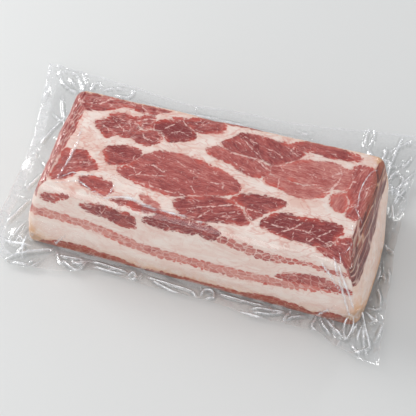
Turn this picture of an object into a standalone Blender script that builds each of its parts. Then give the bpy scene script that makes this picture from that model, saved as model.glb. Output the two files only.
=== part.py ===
"""A slab of raw pork belly, vacuum sealed in a clear pouch that lies flat.

The pack is one closed solid. The meat stands in the middle as a block with sloping ends and
rounded edges, and the pouch's two films join round its foot as a thin margin. Units are metres,
+Z is up, and the origin is under the middle of the pouch, on the surface it lies on.
"""

import math

import bmesh
import bpy

# The slab of belly
SLAB_LENGTH = 0.2530
SLAB_WIDTH = 0.1060
SLAB_HEIGHT = 0.0645
SLAB_CORNER = 0.0080
END_LEAN = 0.0105
SIDE_LEAN = 0.0035
SIDE_BULGE = 0.0012
TOP_EDGE = 0.0065
BOTTOM_EDGE = 0.0026
BACK_FLARE = 0.020
FRONT_SKEW = 0.0020
TOP_WAVE = 0.0007

# How far the soft fat at the foot of the right end spreads outwards. It spreads furthest a little
# in front of the middle, and further from there it spreads less, by the square of the distance.
END_SPREAD = 0.0052
SPREAD_PLACE = -0.016
SPREAD_FALL = 2.0

# How far the foot of the front side spreads forwards
FRONT_SPREAD = 0.0016

# The pouch, given by its corners as seen from above, with the slab's place in it
SLAB_CENTRE = (0.0140, -0.0235)
POUCH_CORNERS = ((-0.124, -0.100), (0.161, -0.106), (0.156, 0.106), (-0.161, 0.091))
CORNER_ROUNDING = (0.016, 0.004, 0.006, 0.004)
EDGE_PULL = (0.012, 0.003, 0.010, 0.001)
EDGE_LIFT = (0.0035, 0.0060, 0.0110, 0.0090)
EDGE_RIPPLE = 0.0009
RIPPLE_LENGTH = 0.041
MARGIN_THICKNESS = 0.0012
MARGIN_ROOT = 0.0022

# The webs of stretched film that run from the slab's corners to the pouch's corners
WEB_HEIGHT = 0.0140
WEB_WIDTH = 0.0220

# How finely each ring is divided
LONG_STEPS = 28
SHORT_STEPS = 12
CORNER_STEPS = 6
CORNER_SHARE = 0.11
MARGIN_STEPS = (0.0, 0.12, 0.32, 0.58, 0.82, 1.0)
WALL_STEPS = 7
EDGE_STEPS = 4
TOP_INSETS = (0.009, 0.019, 0.029)

SIDE_STEPS = (LONG_STEPS, SHORT_STEPS, LONG_STEPS, SHORT_STEPS)


def rounded_rectangle(half_length, half_width, radius):
    """One ring of the slab, anticlockwise from above: each side, then the corner that ends it."""
    x = half_length - radius
    y = half_width - radius
    corners = ((-x, -y), (x, -y), (x, y), (-x, y))
    points = []
    for side, steps in enumerate(SIDE_STEPS):
        facing = math.radians(90 * side - 90)
        out = (radius * math.cos(facing), radius * math.sin(facing))
        start = corners[side]
        end = corners[(side + 1) % 4]
        for step in range(steps):
            share = step / steps
            along = [a + (b - a) * share for a, b in zip(start, end)]
            points.append((along[0] + out[0], along[1] + out[1]))
        for step in range(CORNER_STEPS):
            angle = facing + math.radians(90) * step / CORNER_STEPS
            points.append((end[0] + radius * math.cos(angle), end[1] + radius * math.sin(angle)))
    return points


def slab_ring(height, inset):
    """The slab's outline at a height, drawn in by an inset, with its lean, bulge, skew and spread."""
    share = height / SLAB_HEIGHT
    bulge = SIDE_BULGE * math.sin(math.pi * share)
    half_length = SLAB_LENGTH / 2 - END_LEAN * share ** 1.4 + bulge - inset
    half_width = SLAB_WIDTH / 2 - SIDE_LEAN * share + bulge - inset
    radius = max(SLAB_CORNER - inset, SLAB_CORNER / 6)
    ring = []
    for x, y in rounded_rectangle(half_length, half_width, radius):
        front = max(-y / (SLAB_WIDTH / 2), 0)
        skewed = y - FRONT_SKEW * front * x / (SLAB_LENGTH / 2)
        toe = FRONT_SPREAD * front ** 4 * (1 - share) ** 2
        flared = x * (1 + BACK_FLARE * y / (SLAB_WIDTH / 2))
        right = max(x / (SLAB_LENGTH / 2), 0) ** 4
        spread = right * (1 - share) * (END_SPREAD - SPREAD_FALL * (y - SPREAD_PLACE) ** 2)
        ring.append((SLAB_CENTRE[0] + flared + spread, SLAB_CENTRE[1] + skewed - toe))
    return ring


def edge_point(side, share):
    """A point on one edge of the pouch, which the vacuum has drawn in towards its middle."""
    start = POUCH_CORNERS[side]
    end = POUCH_CORNERS[(side + 1) % 4]
    run = math.dist(start, end)
    inward = (-(end[1] - start[1]) / run, (end[0] - start[0]) / run)
    pull = EDGE_PULL[side] * 4 * share * (1 - share)
    return tuple(a + (b - a) * share + n * pull for a, b, n in zip(start, end, inward))


def corner_point(corner, share):
    """A point on the rounding of a pouch corner, from the edge before it to the edge after."""
    before = (corner - 1) % 4
    tip = POUCH_CORNERS[corner]
    run_before = math.dist(POUCH_CORNERS[before], tip)
    run_after = math.dist(tip, POUCH_CORNERS[(corner + 1) % 4])
    start = edge_point(before, 1 - CORNER_ROUNDING[corner] / run_before)
    end = edge_point(corner, CORNER_ROUNDING[corner] / run_after)
    weights = ((1 - share) ** 2, 2 * share * (1 - share), share ** 2)
    return tuple(
        weights[0] * a + weights[1] * b + weights[2] * c for a, b, c in zip(start, tip, end)
    )


def pouch_outline():
    """The pouch's edge, point for point beside the slab's rings, and its height off the table."""
    points = []
    lifts = []
    for side, steps in enumerate(SIDE_STEPS):
        after = (side + 1) % 4
        for step in range(steps):
            share = CORNER_SHARE + (1 - 2 * CORNER_SHARE) * step / steps
            points.append(edge_point(side, share))
            lifts.append(EDGE_LIFT[side])
        points.append(edge_point(side, 1 - CORNER_SHARE))
        lifts.append(EDGE_LIFT[side])
        for step in range(1, CORNER_STEPS):
            share = (step - 1) / (CORNER_STEPS - 2)
            points.append(corner_point(after, share))
            lifts.append(EDGE_LIFT[side] + (EDGE_LIFT[after] - EDGE_LIFT[side]) * share)
    return points, lifts


def web_height(point):
    """How high up the slab's foot the film stands off: highest at the slab's own corners."""
    reach_x = SLAB_LENGTH / 2 - SLAB_CORNER / 2
    reach_y = SLAB_WIDTH / 2 - SLAB_CORNER / 2
    away_x = abs(abs(point[0] - SLAB_CENTRE[0]) - reach_x)
    away_y = abs(abs(point[1] - SLAB_CENTRE[1]) - reach_y)
    return WEB_HEIGHT * math.exp(-(math.hypot(away_x, away_y) / WEB_WIDTH) ** 2)


def margin_ring(root, outline, lifts, share, top):
    """One ring of the pouch's margin, from the slab's foot (share 0) to its edge (share 1)."""
    ring = []
    run = 0.0
    for index, (near, far) in enumerate(zip(root, outline)):
        run += math.dist(far, outline[index - 1])
        ripple = EDGE_RIPPLE * math.sin(2 * math.pi * run / RIPPLE_LENGTH)
        height = MARGIN_ROOT + (lifts[index] + ripple - MARGIN_ROOT) * share ** 1.5
        if top:
            height += MARGIN_THICKNESS + web_height(near) * (1 - share) ** 3
        ring.append((near[0] + (far[0] - near[0]) * share, near[1] + (far[1] - near[1]) * share, height))
    return ring


def level(outline, height):
    """A flat ring at one height."""
    return [(x, y, height) for x, y in outline]


def pack_rings():
    """Every ring of the pack in order: foot, under the margin, over it, up the slab, over its top."""
    rings = []
    for step in range(3):
        angle = math.radians(90) * step / 3
        inset = BOTTOM_EDGE * (1 - math.sin(angle))
        height = MARGIN_ROOT * (1 - math.cos(angle))
        rings.append(level(slab_ring(height, inset), height))

    root = slab_ring(MARGIN_ROOT, 0)
    outline, lifts = pouch_outline()
    for share in MARGIN_STEPS:
        rings.append(margin_ring(root, outline, lifts, share, top=False))
    for share in reversed(MARGIN_STEPS):
        rings.append(margin_ring(root, outline, lifts, share, top=True))

    shoulder = SLAB_HEIGHT - TOP_EDGE
    foot = rings[-1]
    for step in range(1, WALL_STEPS + 1):
        ring = []
        for index, point in enumerate(foot):
            height = point[2] + (shoulder - point[2]) * step / WALL_STEPS
            ring.append((*slab_ring(height, 0)[index], height))
        rings.append(ring)

    for step in range(1, EDGE_STEPS + 1):
        angle = math.radians(90) * step / EDGE_STEPS
        inset = TOP_EDGE * (1 - math.cos(angle))
        height = shoulder + TOP_EDGE * math.sin(angle)
        rings.append(level(slab_ring(height, inset), height))

    for inset in TOP_INSETS:
        ring = []
        for x, y in slab_ring(SLAB_HEIGHT, TOP_EDGE + inset):
            wave = math.cos(2 * math.pi * x / SLAB_WIDTH) * math.cos(math.pi * y / SLAB_WIDTH)
            ring.append((x, y, SLAB_HEIGHT - TOP_WAVE * (1 - wave)))
        rings.append(ring)
    return rings


def skin(rings):
    """A closed mesh over the rings, with a flat foot and a cap on top."""
    bm = bmesh.new()
    loops = [[bm.verts.new(point) for point in ring] for ring in rings]
    count = len(loops[0])
    for lower, upper in zip(loops, loops[1:]):
        for index in range(count):
            after = (index + 1) % count
            bm.faces.new((lower[index], lower[after], upper[after], upper[index]))
    bm.faces.new(reversed(loops[0]))
    bm.faces.new(loops[-1])
    bmesh.ops.triangulate(bm, faces=bm.faces)

    low = [min(v.co[axis] for v in bm.verts) for axis in range(2)]
    high = [max(v.co[axis] for v in bm.verts) for axis in range(2)]
    middle = (-(low[0] + high[0]) / 2, -(low[1] + high[1]) / 2, 0)
    bmesh.ops.translate(bm, vec=middle, verts=bm.verts)
    return bm


def pork_material():
    """Raw pork belly under clear film: pink, moist and glossy."""
    material = bpy.data.materials.new("pork_under_film")
    material.use_nodes = True
    surface = material.node_tree.nodes["Principled BSDF"]
    surface.inputs["Base Color"].default_value = (0.58, 0.29, 0.25, 1)
    surface.inputs["Roughness"].default_value = 0.28
    surface.inputs["Metallic"].default_value = 0
    return material


def make_pack():
    """The sealed pack as one object."""
    bm = skin(pack_rings())
    mesh = bpy.data.meshes.new("sealed_pack")
    bm.to_mesh(mesh)
    bm.free()
    mesh.materials.append(pork_material())
    mesh.shade_smooth()
    mesh.set_sharp_from_angle(angle=math.radians(40))
    pack = bpy.data.objects.new("sealed_pack", mesh)
    bpy.context.scene.collection.objects.link(pack)


for old in list(bpy.data.objects):
    bpy.data.objects.remove(old, do_unlink=True)

make_pack()
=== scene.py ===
import math

import bpy
import numpy as np
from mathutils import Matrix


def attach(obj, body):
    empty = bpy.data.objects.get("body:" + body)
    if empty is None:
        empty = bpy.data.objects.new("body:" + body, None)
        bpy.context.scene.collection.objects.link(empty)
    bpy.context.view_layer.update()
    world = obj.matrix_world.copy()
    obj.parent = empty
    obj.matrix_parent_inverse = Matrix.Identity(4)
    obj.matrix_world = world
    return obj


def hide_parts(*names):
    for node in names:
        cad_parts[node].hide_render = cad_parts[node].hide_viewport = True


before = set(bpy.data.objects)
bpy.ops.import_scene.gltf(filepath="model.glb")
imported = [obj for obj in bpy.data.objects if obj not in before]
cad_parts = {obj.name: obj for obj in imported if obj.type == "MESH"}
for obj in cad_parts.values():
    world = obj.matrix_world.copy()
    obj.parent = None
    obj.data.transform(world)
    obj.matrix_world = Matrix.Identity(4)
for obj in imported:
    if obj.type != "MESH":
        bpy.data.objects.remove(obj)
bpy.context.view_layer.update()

sealed_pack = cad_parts["sealed_pack"]

# ---- The slab's form ---------------------------------------------------------------------------
# A block of raw pork belly, sawn square and squeezed by the vacuum, so its ends slope, its faces
# swell a little and its edges are round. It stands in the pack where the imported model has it.

# The block, and how round its corners and edges are
SLAB_LENGTH = 0.2530
SLAB_WIDTH = 0.1060
PLAN_CORNER = 0.0070
SMALLEST_CORNER = 0.0020
FRONT_TOP_EDGE = 0.0085
OTHER_TOP_EDGE = 0.0045
FOOT_EDGE = 0.0022

# How far its sides lean in at the top and swell half way up, how much longer it is at its back, and
# how far forward the right end of its front side stands
END_LEAN = 0.0105
LEAN_CURVE = 1.4
FRONT_LEAN = 0.0050
BACK_LEAN = 0.0020
SIDE_SWELL = 0.0012
BACK_FLARE = 0.020
FRONT_SKEW = 0.0020

# How far the soft foot spreads. The right end spreads furthest a little in front of its middle, and
# further from there it spreads less, by the square of the distance.
LEFT_SPREAD = 0.0040
RIGHT_SPREAD = 0.0052
SPREAD_FORWARD = 0.016
SPREAD_FALL = 2.0
FRONT_SPREAD = 0.0016

# The lower film is under the slab and lifts it, and the upper one stands this far off it
SLAB_LIFT = 0.0002
FILM_GAP = 0.0004

# How finely the slab is divided: along and across it, up its walls and round its edges
LONG_CUTS = 270
SHORT_CUTS = 106
WALL_CUTS = 56
TOP_EDGE_CUTS = 13
FOOT_EDGE_CUTS = 5

FRONT, RIGHT, BACK, LEFT, TOP, UNDERSIDE = range(6)
SIDE_CUTS = (LONG_CUTS, SHORT_CUTS, LONG_CUTS, SHORT_CUTS)
AROUND = sum(SIDE_CUTS)

pack_points = np.array([vertex.co[:] for vertex in sealed_pack.data.vertices])
pack_top = pack_points[:, 2].max()
slab_height = pack_top - SLAB_LIFT - FILM_GAP

# The pack's upper fifth is all slab, so its middle is the slab's
high_points = pack_points[pack_points[:, 2] > 0.8 * pack_top]
slab_middle = (high_points.min(0) + high_points.max(0))[:2] / 2


def slab_outline(side, share, height, inset):
    """Points round the slab, each at its own height and drawn in by its own inset. The sides are
    front, right, back and left, and share goes from -1 to 1 between the middles of the corners.
    Returns the points, their outward directions and their run along their side."""
    rise = height / slab_height
    swell = SIDE_SWELL * np.sin(math.pi * rise)
    half_x = SLAB_LENGTH / 2 - END_LEAN * np.clip(rise, 0, None) ** LEAN_CURVE + swell - inset
    half_y = SLAB_WIDTH / 2 + swell - inset

    # Each side is laid out straight with its round corners, then turned to its place
    across = np.where(side % 2 == 0, half_x, half_y)
    deep = np.where(side % 2 == 0, half_y, half_x)
    bow = np.maximum(PLAN_CORNER - inset, SMALLEST_CORNER)
    straight = across - bow
    along = share * (straight + bow * math.pi / 4)
    bend = np.clip(np.abs(along) - straight, 0, None) / bow * np.sign(along)
    u = np.clip(along, -straight, straight) + bow * np.sin(bend)
    v = bow - deep - bow * np.cos(bend)
    turn_cos, turn_sin = np.cos(side * math.pi / 2), np.sin(side * math.pi / 2)
    x, y = u * turn_cos - v * turn_sin, u * turn_sin + v * turn_cos
    outward = np.stack([np.sin(bend) * turn_cos + np.cos(bend) * turn_sin,
                        np.sin(bend) * turn_sin - np.cos(bend) * turn_cos], 1)

    # The block's lean, skew, flare and spread move the points from there
    forward, rightward = -y / (SLAB_WIDTH / 2), x / (SLAB_LENGTH / 2)
    low = np.clip(1 - rise, 0, 1)
    lean = np.where(forward > 0, FRONT_LEAN, BACK_LEAN) * forward * rise
    skew = FRONT_SKEW * np.clip(forward, 0, None) * rightward
    front_spread = FRONT_SPREAD * np.clip(forward, 0, 1) ** 4 * low ** 2
    left_spread = (LEFT_SPREAD * np.clip(-rightward, 0, 1) ** 4 * np.clip(0.35 + 0.65 * forward, 0, 1)
                   * np.clip(1.1 - rise, 0, 1))
    right_spread = (np.clip(rightward, 0, 1) ** 4 * low
                    * (RIGHT_SPREAD - SPREAD_FALL * (y + SPREAD_FORWARD) ** 2))
    plan = np.stack([x * (1 - BACK_FLARE * forward) - left_spread + right_spread,
                     y + lean - skew - front_spread], 1)
    return plan, outward, along


def edge_radius(outward):
    """How round the top edge is, which is more at the front than elsewhere."""
    return OTHER_TOP_EDGE + (FRONT_TOP_EDGE - OTHER_TOP_EDGE) * np.clip(-outward[:, 1], 0, 1) ** 2


slab_side = np.repeat(np.arange(4), SIDE_CUTS)
slab_share = np.concatenate([np.linspace(-1, 1, cuts, endpoint=False) for cuts in SIDE_CUTS])
_, wall_outward, _ = slab_outline(slab_side, slab_share, slab_height / 2, 0)
top_edge = edge_radius(wall_outward)
shoulder = slab_height - top_edge


def slab_rings():
    """Height, inset, unrolled height and upward tilt of each ring, from the foot to the top face."""
    rings = []
    for turn in np.linspace(0, math.pi / 2, FOOT_EDGE_CUTS, endpoint=False):
        rings.append((FOOT_EDGE * (1 - math.cos(turn)), FOOT_EDGE * (1 - math.sin(turn)),
                      FOOT_EDGE * (1 - math.pi / 2 + turn), turn - math.pi / 2))
    for share in np.linspace(0, 1, WALL_CUTS, endpoint=False):
        height = FOOT_EDGE + (shoulder - FOOT_EDGE) * share
        rings.append((height, 0, height, 0))
    for turn in np.linspace(0, math.pi / 2, TOP_EDGE_CUTS + 1):
        rings.append((shoulder + top_edge * math.sin(turn), top_edge * (1 - math.cos(turn)),
                      shoulder + top_edge * turn, turn))
    return rings


def patch(ring, long_cuts, short_cuts):
    """Points spread evenly inside a four-sided ring, as rows from its front side to its back."""
    corners = np.cumsum([0, long_cuts, short_cuts, long_cuts])
    closed = np.concatenate([ring, ring[:1]])
    front = closed[corners[0]:corners[1] + 1]
    right = closed[corners[1]:corners[2] + 1]
    back = closed[corners[2]:corners[3] + 1][::-1]
    left = closed[corners[3]:][::-1]
    s = np.linspace(0, 1, long_cuts + 1)[None, :, None]
    t = np.linspace(0, 1, short_cuts + 1)[:, None, None]
    sides = (1 - t) * front[None] + t * back[None] + (1 - s) * left[:, None] + s * right[:, None]
    tips = ((1 - s) * (1 - t) * front[0] + s * (1 - t) * front[-1]
            + (1 - s) * t * back[0] + s * t * back[-1])
    return sides - tips


class Slab:
    """Every point of the slab: where it is, where it faces and on which side, and where it lies on
    the unrolled walls (run and rise) and on the unrolled top, in millimetres."""

    FIELDS = ("where", "facing", "side", "run", "rise", "top")

    def __init__(self):
        for field in self.FIELDS:
            setattr(self, field, [])
        self.faces = []
        self.count = 0

    def add(self, *values):
        """Adds points by their fields, and returns the number of the first of them."""
        first = self.count
        for field, value in zip(self.FIELDS, values):
            getattr(self, field).append(value)
        self.count += len(values[0])
        return first

    def close(self):
        """Joins the fields once all points are in."""
        for field in self.FIELDS:
            setattr(self, field, np.concatenate(getattr(self, field)))


def make_slab():
    """The whole skin of the slab: its walls ring by ring, then its top and its underside."""
    slab = Slab()
    rim, _, _ = slab_outline(slab_side, slab_share, slab_height, top_edge)
    rings = []
    for height, inset, unrolled, tilt in slab_rings():
        points, outward, run = slab_outline(slab_side, slab_share, height, inset)
        unrolled = np.broadcast_to(unrolled, AROUND)
        where = np.column_stack([points, np.broadcast_to(height, AROUND)])
        facing = np.column_stack([outward * math.cos(tilt), np.full(AROUND, math.sin(tilt))])
        over = shoulder + top_edge * math.pi / 2 - unrolled
        top = rim + outward * over[:, None]
        rings.append(slab.add(where, facing, slab_side, run, unrolled, top))
    ring = np.arange(AROUND)
    after = (ring + 1) % AROUND
    for lower, upper in zip(rings, rings[1:]):
        slab.faces += np.column_stack([lower + ring, lower + after, upper + after, upper + ring]).tolist()

    def cover(ring_first, points, long_cuts, short_cuts, step, side):
        """Fills a ring with a grid, each of whose cells at the rim takes in step cuts of the ring."""
        up = 1 if side == TOP else -1
        height = slab_height if side == TOP else 0.0
        inner = points[1:-1, 1:-1].reshape(-1, 2)
        many = len(inner)
        first = slab.add(np.column_stack([inner, np.full(many, height)]), np.tile([0, 0, up], (many, 1)),
                         np.full(many, side), np.zeros(many), np.full(many, 1e3 * up), inner)
        index = np.zeros((short_cuts + 1, long_cuts + 1), int)
        index[1:-1, 1:-1] = first + np.arange(many).reshape(short_cuts - 1, long_cuts - 1)
        around_rim = ([(0, c) for c in range(long_cuts)] + [(r, long_cuts) for r in range(short_cuts)]
                      + [(short_cuts, c) for c in range(long_cuts, 0, -1)]
                      + [(r, 0) for r in range(short_cuts, 0, -1)])
        middles = {}
        for place, cell in enumerate(around_rim):
            index[cell] = ring_first + place * step
            following = around_rim[(place + 1) % len(around_rim)]
            if step > 1:
                middles[frozenset((cell, following))] = ring_first + place * step + 1
        for row in range(short_cuts):
            for column in range(long_cuts):
                cell = [(row, column), (row, column + 1), (row + 1, column + 1), (row + 1, column)]
                face = []
                for corner in range(4):
                    face.append(int(index[cell[corner]]))
                    middle = middles.get(frozenset((cell[corner], cell[(corner + 1) % 4])))
                    if middle is not None:
                        face.append(int(middle))
                slab.faces.append(face[::up])

    cover(rings[-1], patch(rim, LONG_CUTS, SHORT_CUTS), LONG_CUTS, SHORT_CUTS, 1, TOP)
    foot_ring, _, _ = slab_outline(slab_side, slab_share, 0, FOOT_EDGE)
    cover(rings[0], patch(foot_ring[::2], LONG_CUTS // 2, SHORT_CUTS // 2),
          LONG_CUTS // 2, SHORT_CUTS // 2, 2, UNDERSIDE)
    slab.close()
    slab.where += (*slab_middle, SLAB_LIFT)
    for field in (slab.run, slab.rise, slab.top):
        field *= 1000
    return slab


slab = make_slab()

# ---- The muscles and fat seams on the cut top --------------------------------------------------
# The top is sawn through the big muscles of the belly and its shoulder end: dark, well-fed ones
# and pale broad ones, each in its own skin of white fat, with thin seams of fat running in.

# Each muscle's darkness, how much paler it grows towards the back, its marbling, how far fat splits
# it into bundles, the angle of its grain in degrees, how far it reaches past its edge, and that
# edge, in millimetres from the slab's middle
TOP_MUSCLES = {
    "centre": (0.62, 0.12, 0.22, 0.12, -6, 0.8, (
        (-50, 1), (-43, 6), (-37, 9), (-27, 10), (-17, 10), (-7, 8), (3, 6), (12, 3), (20, -1),
        (25, -6), (24, -12), (17, -17), (8, -19), (-3, -22), (-13, -26), (-24, -28), (-38, -26),
        (-50, -23), (-59, -20), (-64, -15), (-57, -9), (-54, -3))),
    "centre_tip": (0.88, 0.1, 0.35, 0.12, 4, 1.0, (
        (-79, -1), (-74, 3), (-63, 6), (-54, 5), (-52, 1), (-55, -4), (-58, -8), (-65, -12),
        (-72, -12), (-77, -6))),
    "left_marbled": (0.76, 0.1, 1.0, 0.4, 10, 1.6, (
        (-93, 23), (-87, 27), (-85, 33), (-76, 36), (-70, 33), (-65, 35), (-62, 31), (-65, 26),
        (-62, 22), (-64, 17), (-69, 14), (-75, 15), (-82, 11), (-88, 15), (-92, 18))),
    "left_nut": (0.86, 0.1, 0.7, 0.25, 12, 1.4, (
        (-63, 20), (-58, 23), (-52, 25), (-46, 25), (-43, 21), (-43, 16), (-48, 12), (-54, 11),
        (-60, 13), (-63, 16))),
    "left_island": (0.72, 0.0, 0.9, 0.4, 0, 2.6, (
        (-61, 36), (-55, 38), (-54, 33), (-56, 28), (-60, 28), (-61, 32))),
    "blade": (1.14, 0.1, 0.36, 0.25, -14, 1.8, (
        (-52, 34), (-46, 37), (-39, 38), (-32, 37), (-26, 35), (-21, 32), (-20, 28), (-24, 24),
        (-31, 22), (-37, 20), (-42, 26), (-48, 28), (-53, 30))),
    "back_left": (0.70, 0.1, 0.8, 0.55, 4, 0.8, (
        (-113, 46), (-105, 49), (-96, 49), (-84, 50), (-70, 49), (-56, 49), (-42, 48), (-48, 44),
        (-58, 41), (-68, 41), (-78, 42), (-84, 38), (-92, 34), (-101, 32), (-114, 31))),
    "left_edge": (0.66, 0.0, 0.95, 1.5, 84, 0.6, (
        (-119, 53), (-110, 50), (-105, 38), (-106, 22), (-105, 8), (-107, -8), (-109, -24), (-111, -38),
        (-115, -50), (-121, -60), (-126, -40), (-126, 0), (-126, 40))),
    "back_middle": (0.76, 0.1, 0.7, 0.35, 12, 1.4, (
        (-40, 41), (-32, 43), (-24, 46), (-16, 50), (-7, 51), (-2, 48), (-1, 42), (-6, 37),
        (-14, 35), (-21, 34), (-24, 37), (-31, 38))),
    "back_ribbon": (0.7, 0, 0.3, 0.12, 3, 0.6, (
        (-1, 51), (10, 53), (22, 53), (35, 52), (26, 49), (12, 48), (0, 48))),
    "inner_dark": (0.8, 0.1, 0.5, 0.12, -32, 0.9, (
        (2, 31), (7, 35), (9, 39), (14, 42), (24, 43), (36, 42), (48, 42), (56, 40), (61, 36),
        (59, 31), (53, 27), (47, 22), (42, 20), (34, 22), (22, 22), (11, 24), (4, 26))),
    "inner_low": (0.56, 0.1, 0.5, 0.12, -24, 0.8, (
        (-8, 20), (-3, 24), (4, 24), (12, 22), (22, 21), (32, 20), (40, 17), (41, 11), (37, 7),
        (32, 5), (25, 6), (18, 9), (11, 12), (4, 14), (-4, 16))),
    "broad_pale": (0.42, 0.05, 0.3, 0.12, -4, 1.0, (
        (43, 20), (49, 23), (55, 27), (62, 30), (72, 32), (82, 34), (89, 33), (93, 31), (98, 31),
        (100, 26), (100, 14), (96, 12), (91, 11.5), (86, 11.5), (77, 10.5), (66, 9), (54, 10), (44, 11),
        (42, 15))),
    "broad_pale_low": (0.36, 0.0, 0.25, 0.12, 2, 0.9, (
        (42, 9.5), (53, 8.5), (65, 7.5), (77, 9), (85, 9.5), (85, 6), (80, 1), (73, -2), (63, -3),
        (56, -1), (50, 1), (43, 3), (39, 6))),
    "end_column": (0.56, 0, 0.35, 0.2, 78, 1.0, (
        (97, 32), (100, 35), (104, 37), (111, 37), (117, 33), (121, 24), (120, 12), (118, 0),
        (116, -8), (111, -11), (105, -10.5), (101.5, -8), (102.3, -2), (102, 3), (99, 9), (97, 14),
        (97, 22))),
    "end_button": (0.34, 0, 0.15, 0.12, 70, 0.6, (
        (88, 2), (89, 6), (92, 8.5), (97, 9.5), (99.5, 6), (101, 1), (101, -4), (98, -7.5), (93, -7),
        (90, -4))),
    "back_right": (0.72, 0.1, 0.35, 0.12, -4, 1.0, (
        (51, 42), (54, 46), (61, 49), (71, 50), (81, 49), (91, 47), (99, 45), (103, 43), (98, 40),
        (90, 39), (81, 38), (74, 39), (67, 40), (59, 39))),
    "front_dark": (0.8, 0.0, 0.6, 0.12, 14, 0.8, (
        (-16, -32), (-13, -28), (-7, -25), (0, -22), (9, -20), (20, -19.5), (26, -22), (32, -25),
        (36, -30), (39, -35), (33, -38), (22, -39), (12, -42), (2, -43), (-7, -41), (-13, -38))),
    "front_tongue": (0.7, -0.3, 0.35, 0.12, 8, 0.8, (
        (22, -18), (27, -13), (34, -10), (44, -9), (54, -9), (60, -12), (57, -16), (51, -21),
        (46, -26), (42, -31), (38, -30), (33, -24), (27, -20.5))),
    "front_right": (1.0, 0.0, 0.35, 0.12, 4, 0.8, (
        (47, -32), (50, -27), (54, -22), (62, -19.5), (73, -20), (83, -18.5), (94, -18), (101, -20),
        (103, -25), (99, -30), (97, -35), (91, -39), (80, -40), (68, -40), (57, -38), (49, -36))),
    "corner_right": (0.74, 0, 0.5, 0.3, -30, 1.0, (
        (88, -42), (93, -39), (98, -38), (100, -33), (104, -28), (110, -27), (115, -31), (117, -40),
        (119, -52), (118, -64), (113, -56), (107, -50), (99, -47), (92, -45))),
    "left_haze": (0.72, 0.1, 0.7, 0.35, 30, 0.9, (
        (-108, -9), (-101, -9), (-96, -6), (-90, -7), (-86, -11), (-80, -15), (-77, -20), (-82, -24),
        (-88, -24), (-91, -28), (-95, -34), (-101, -37), (-107, -37), (-108, -28), (-107, -17))),
    "front_left": (0.62, 0, 0.6, 0.12, -10, 1.2, (
        (-86, -31), (-79, -28), (-71, -28), (-64, -30), (-61, -35), (-63, -40), (-69, -40),
        (-77, -38), (-84, -36))),
    "front_lens": (0.72, 0, 0.25, 0.12, 0, 0.6, (
        (-58, -42), (-47, -40.5), (-35, -41), (-23, -42), (-13, -44), (-23, -45.5), (-36, -46),
        (-50, -45))),
    "front_blush": (0.35, 0, 0.6, 0.12, -8, 0.8, (
        (-40, -33), (-34, -34), (-27, -37), (-24, -41), (-31, -40), (-38, -37))),
}

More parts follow.
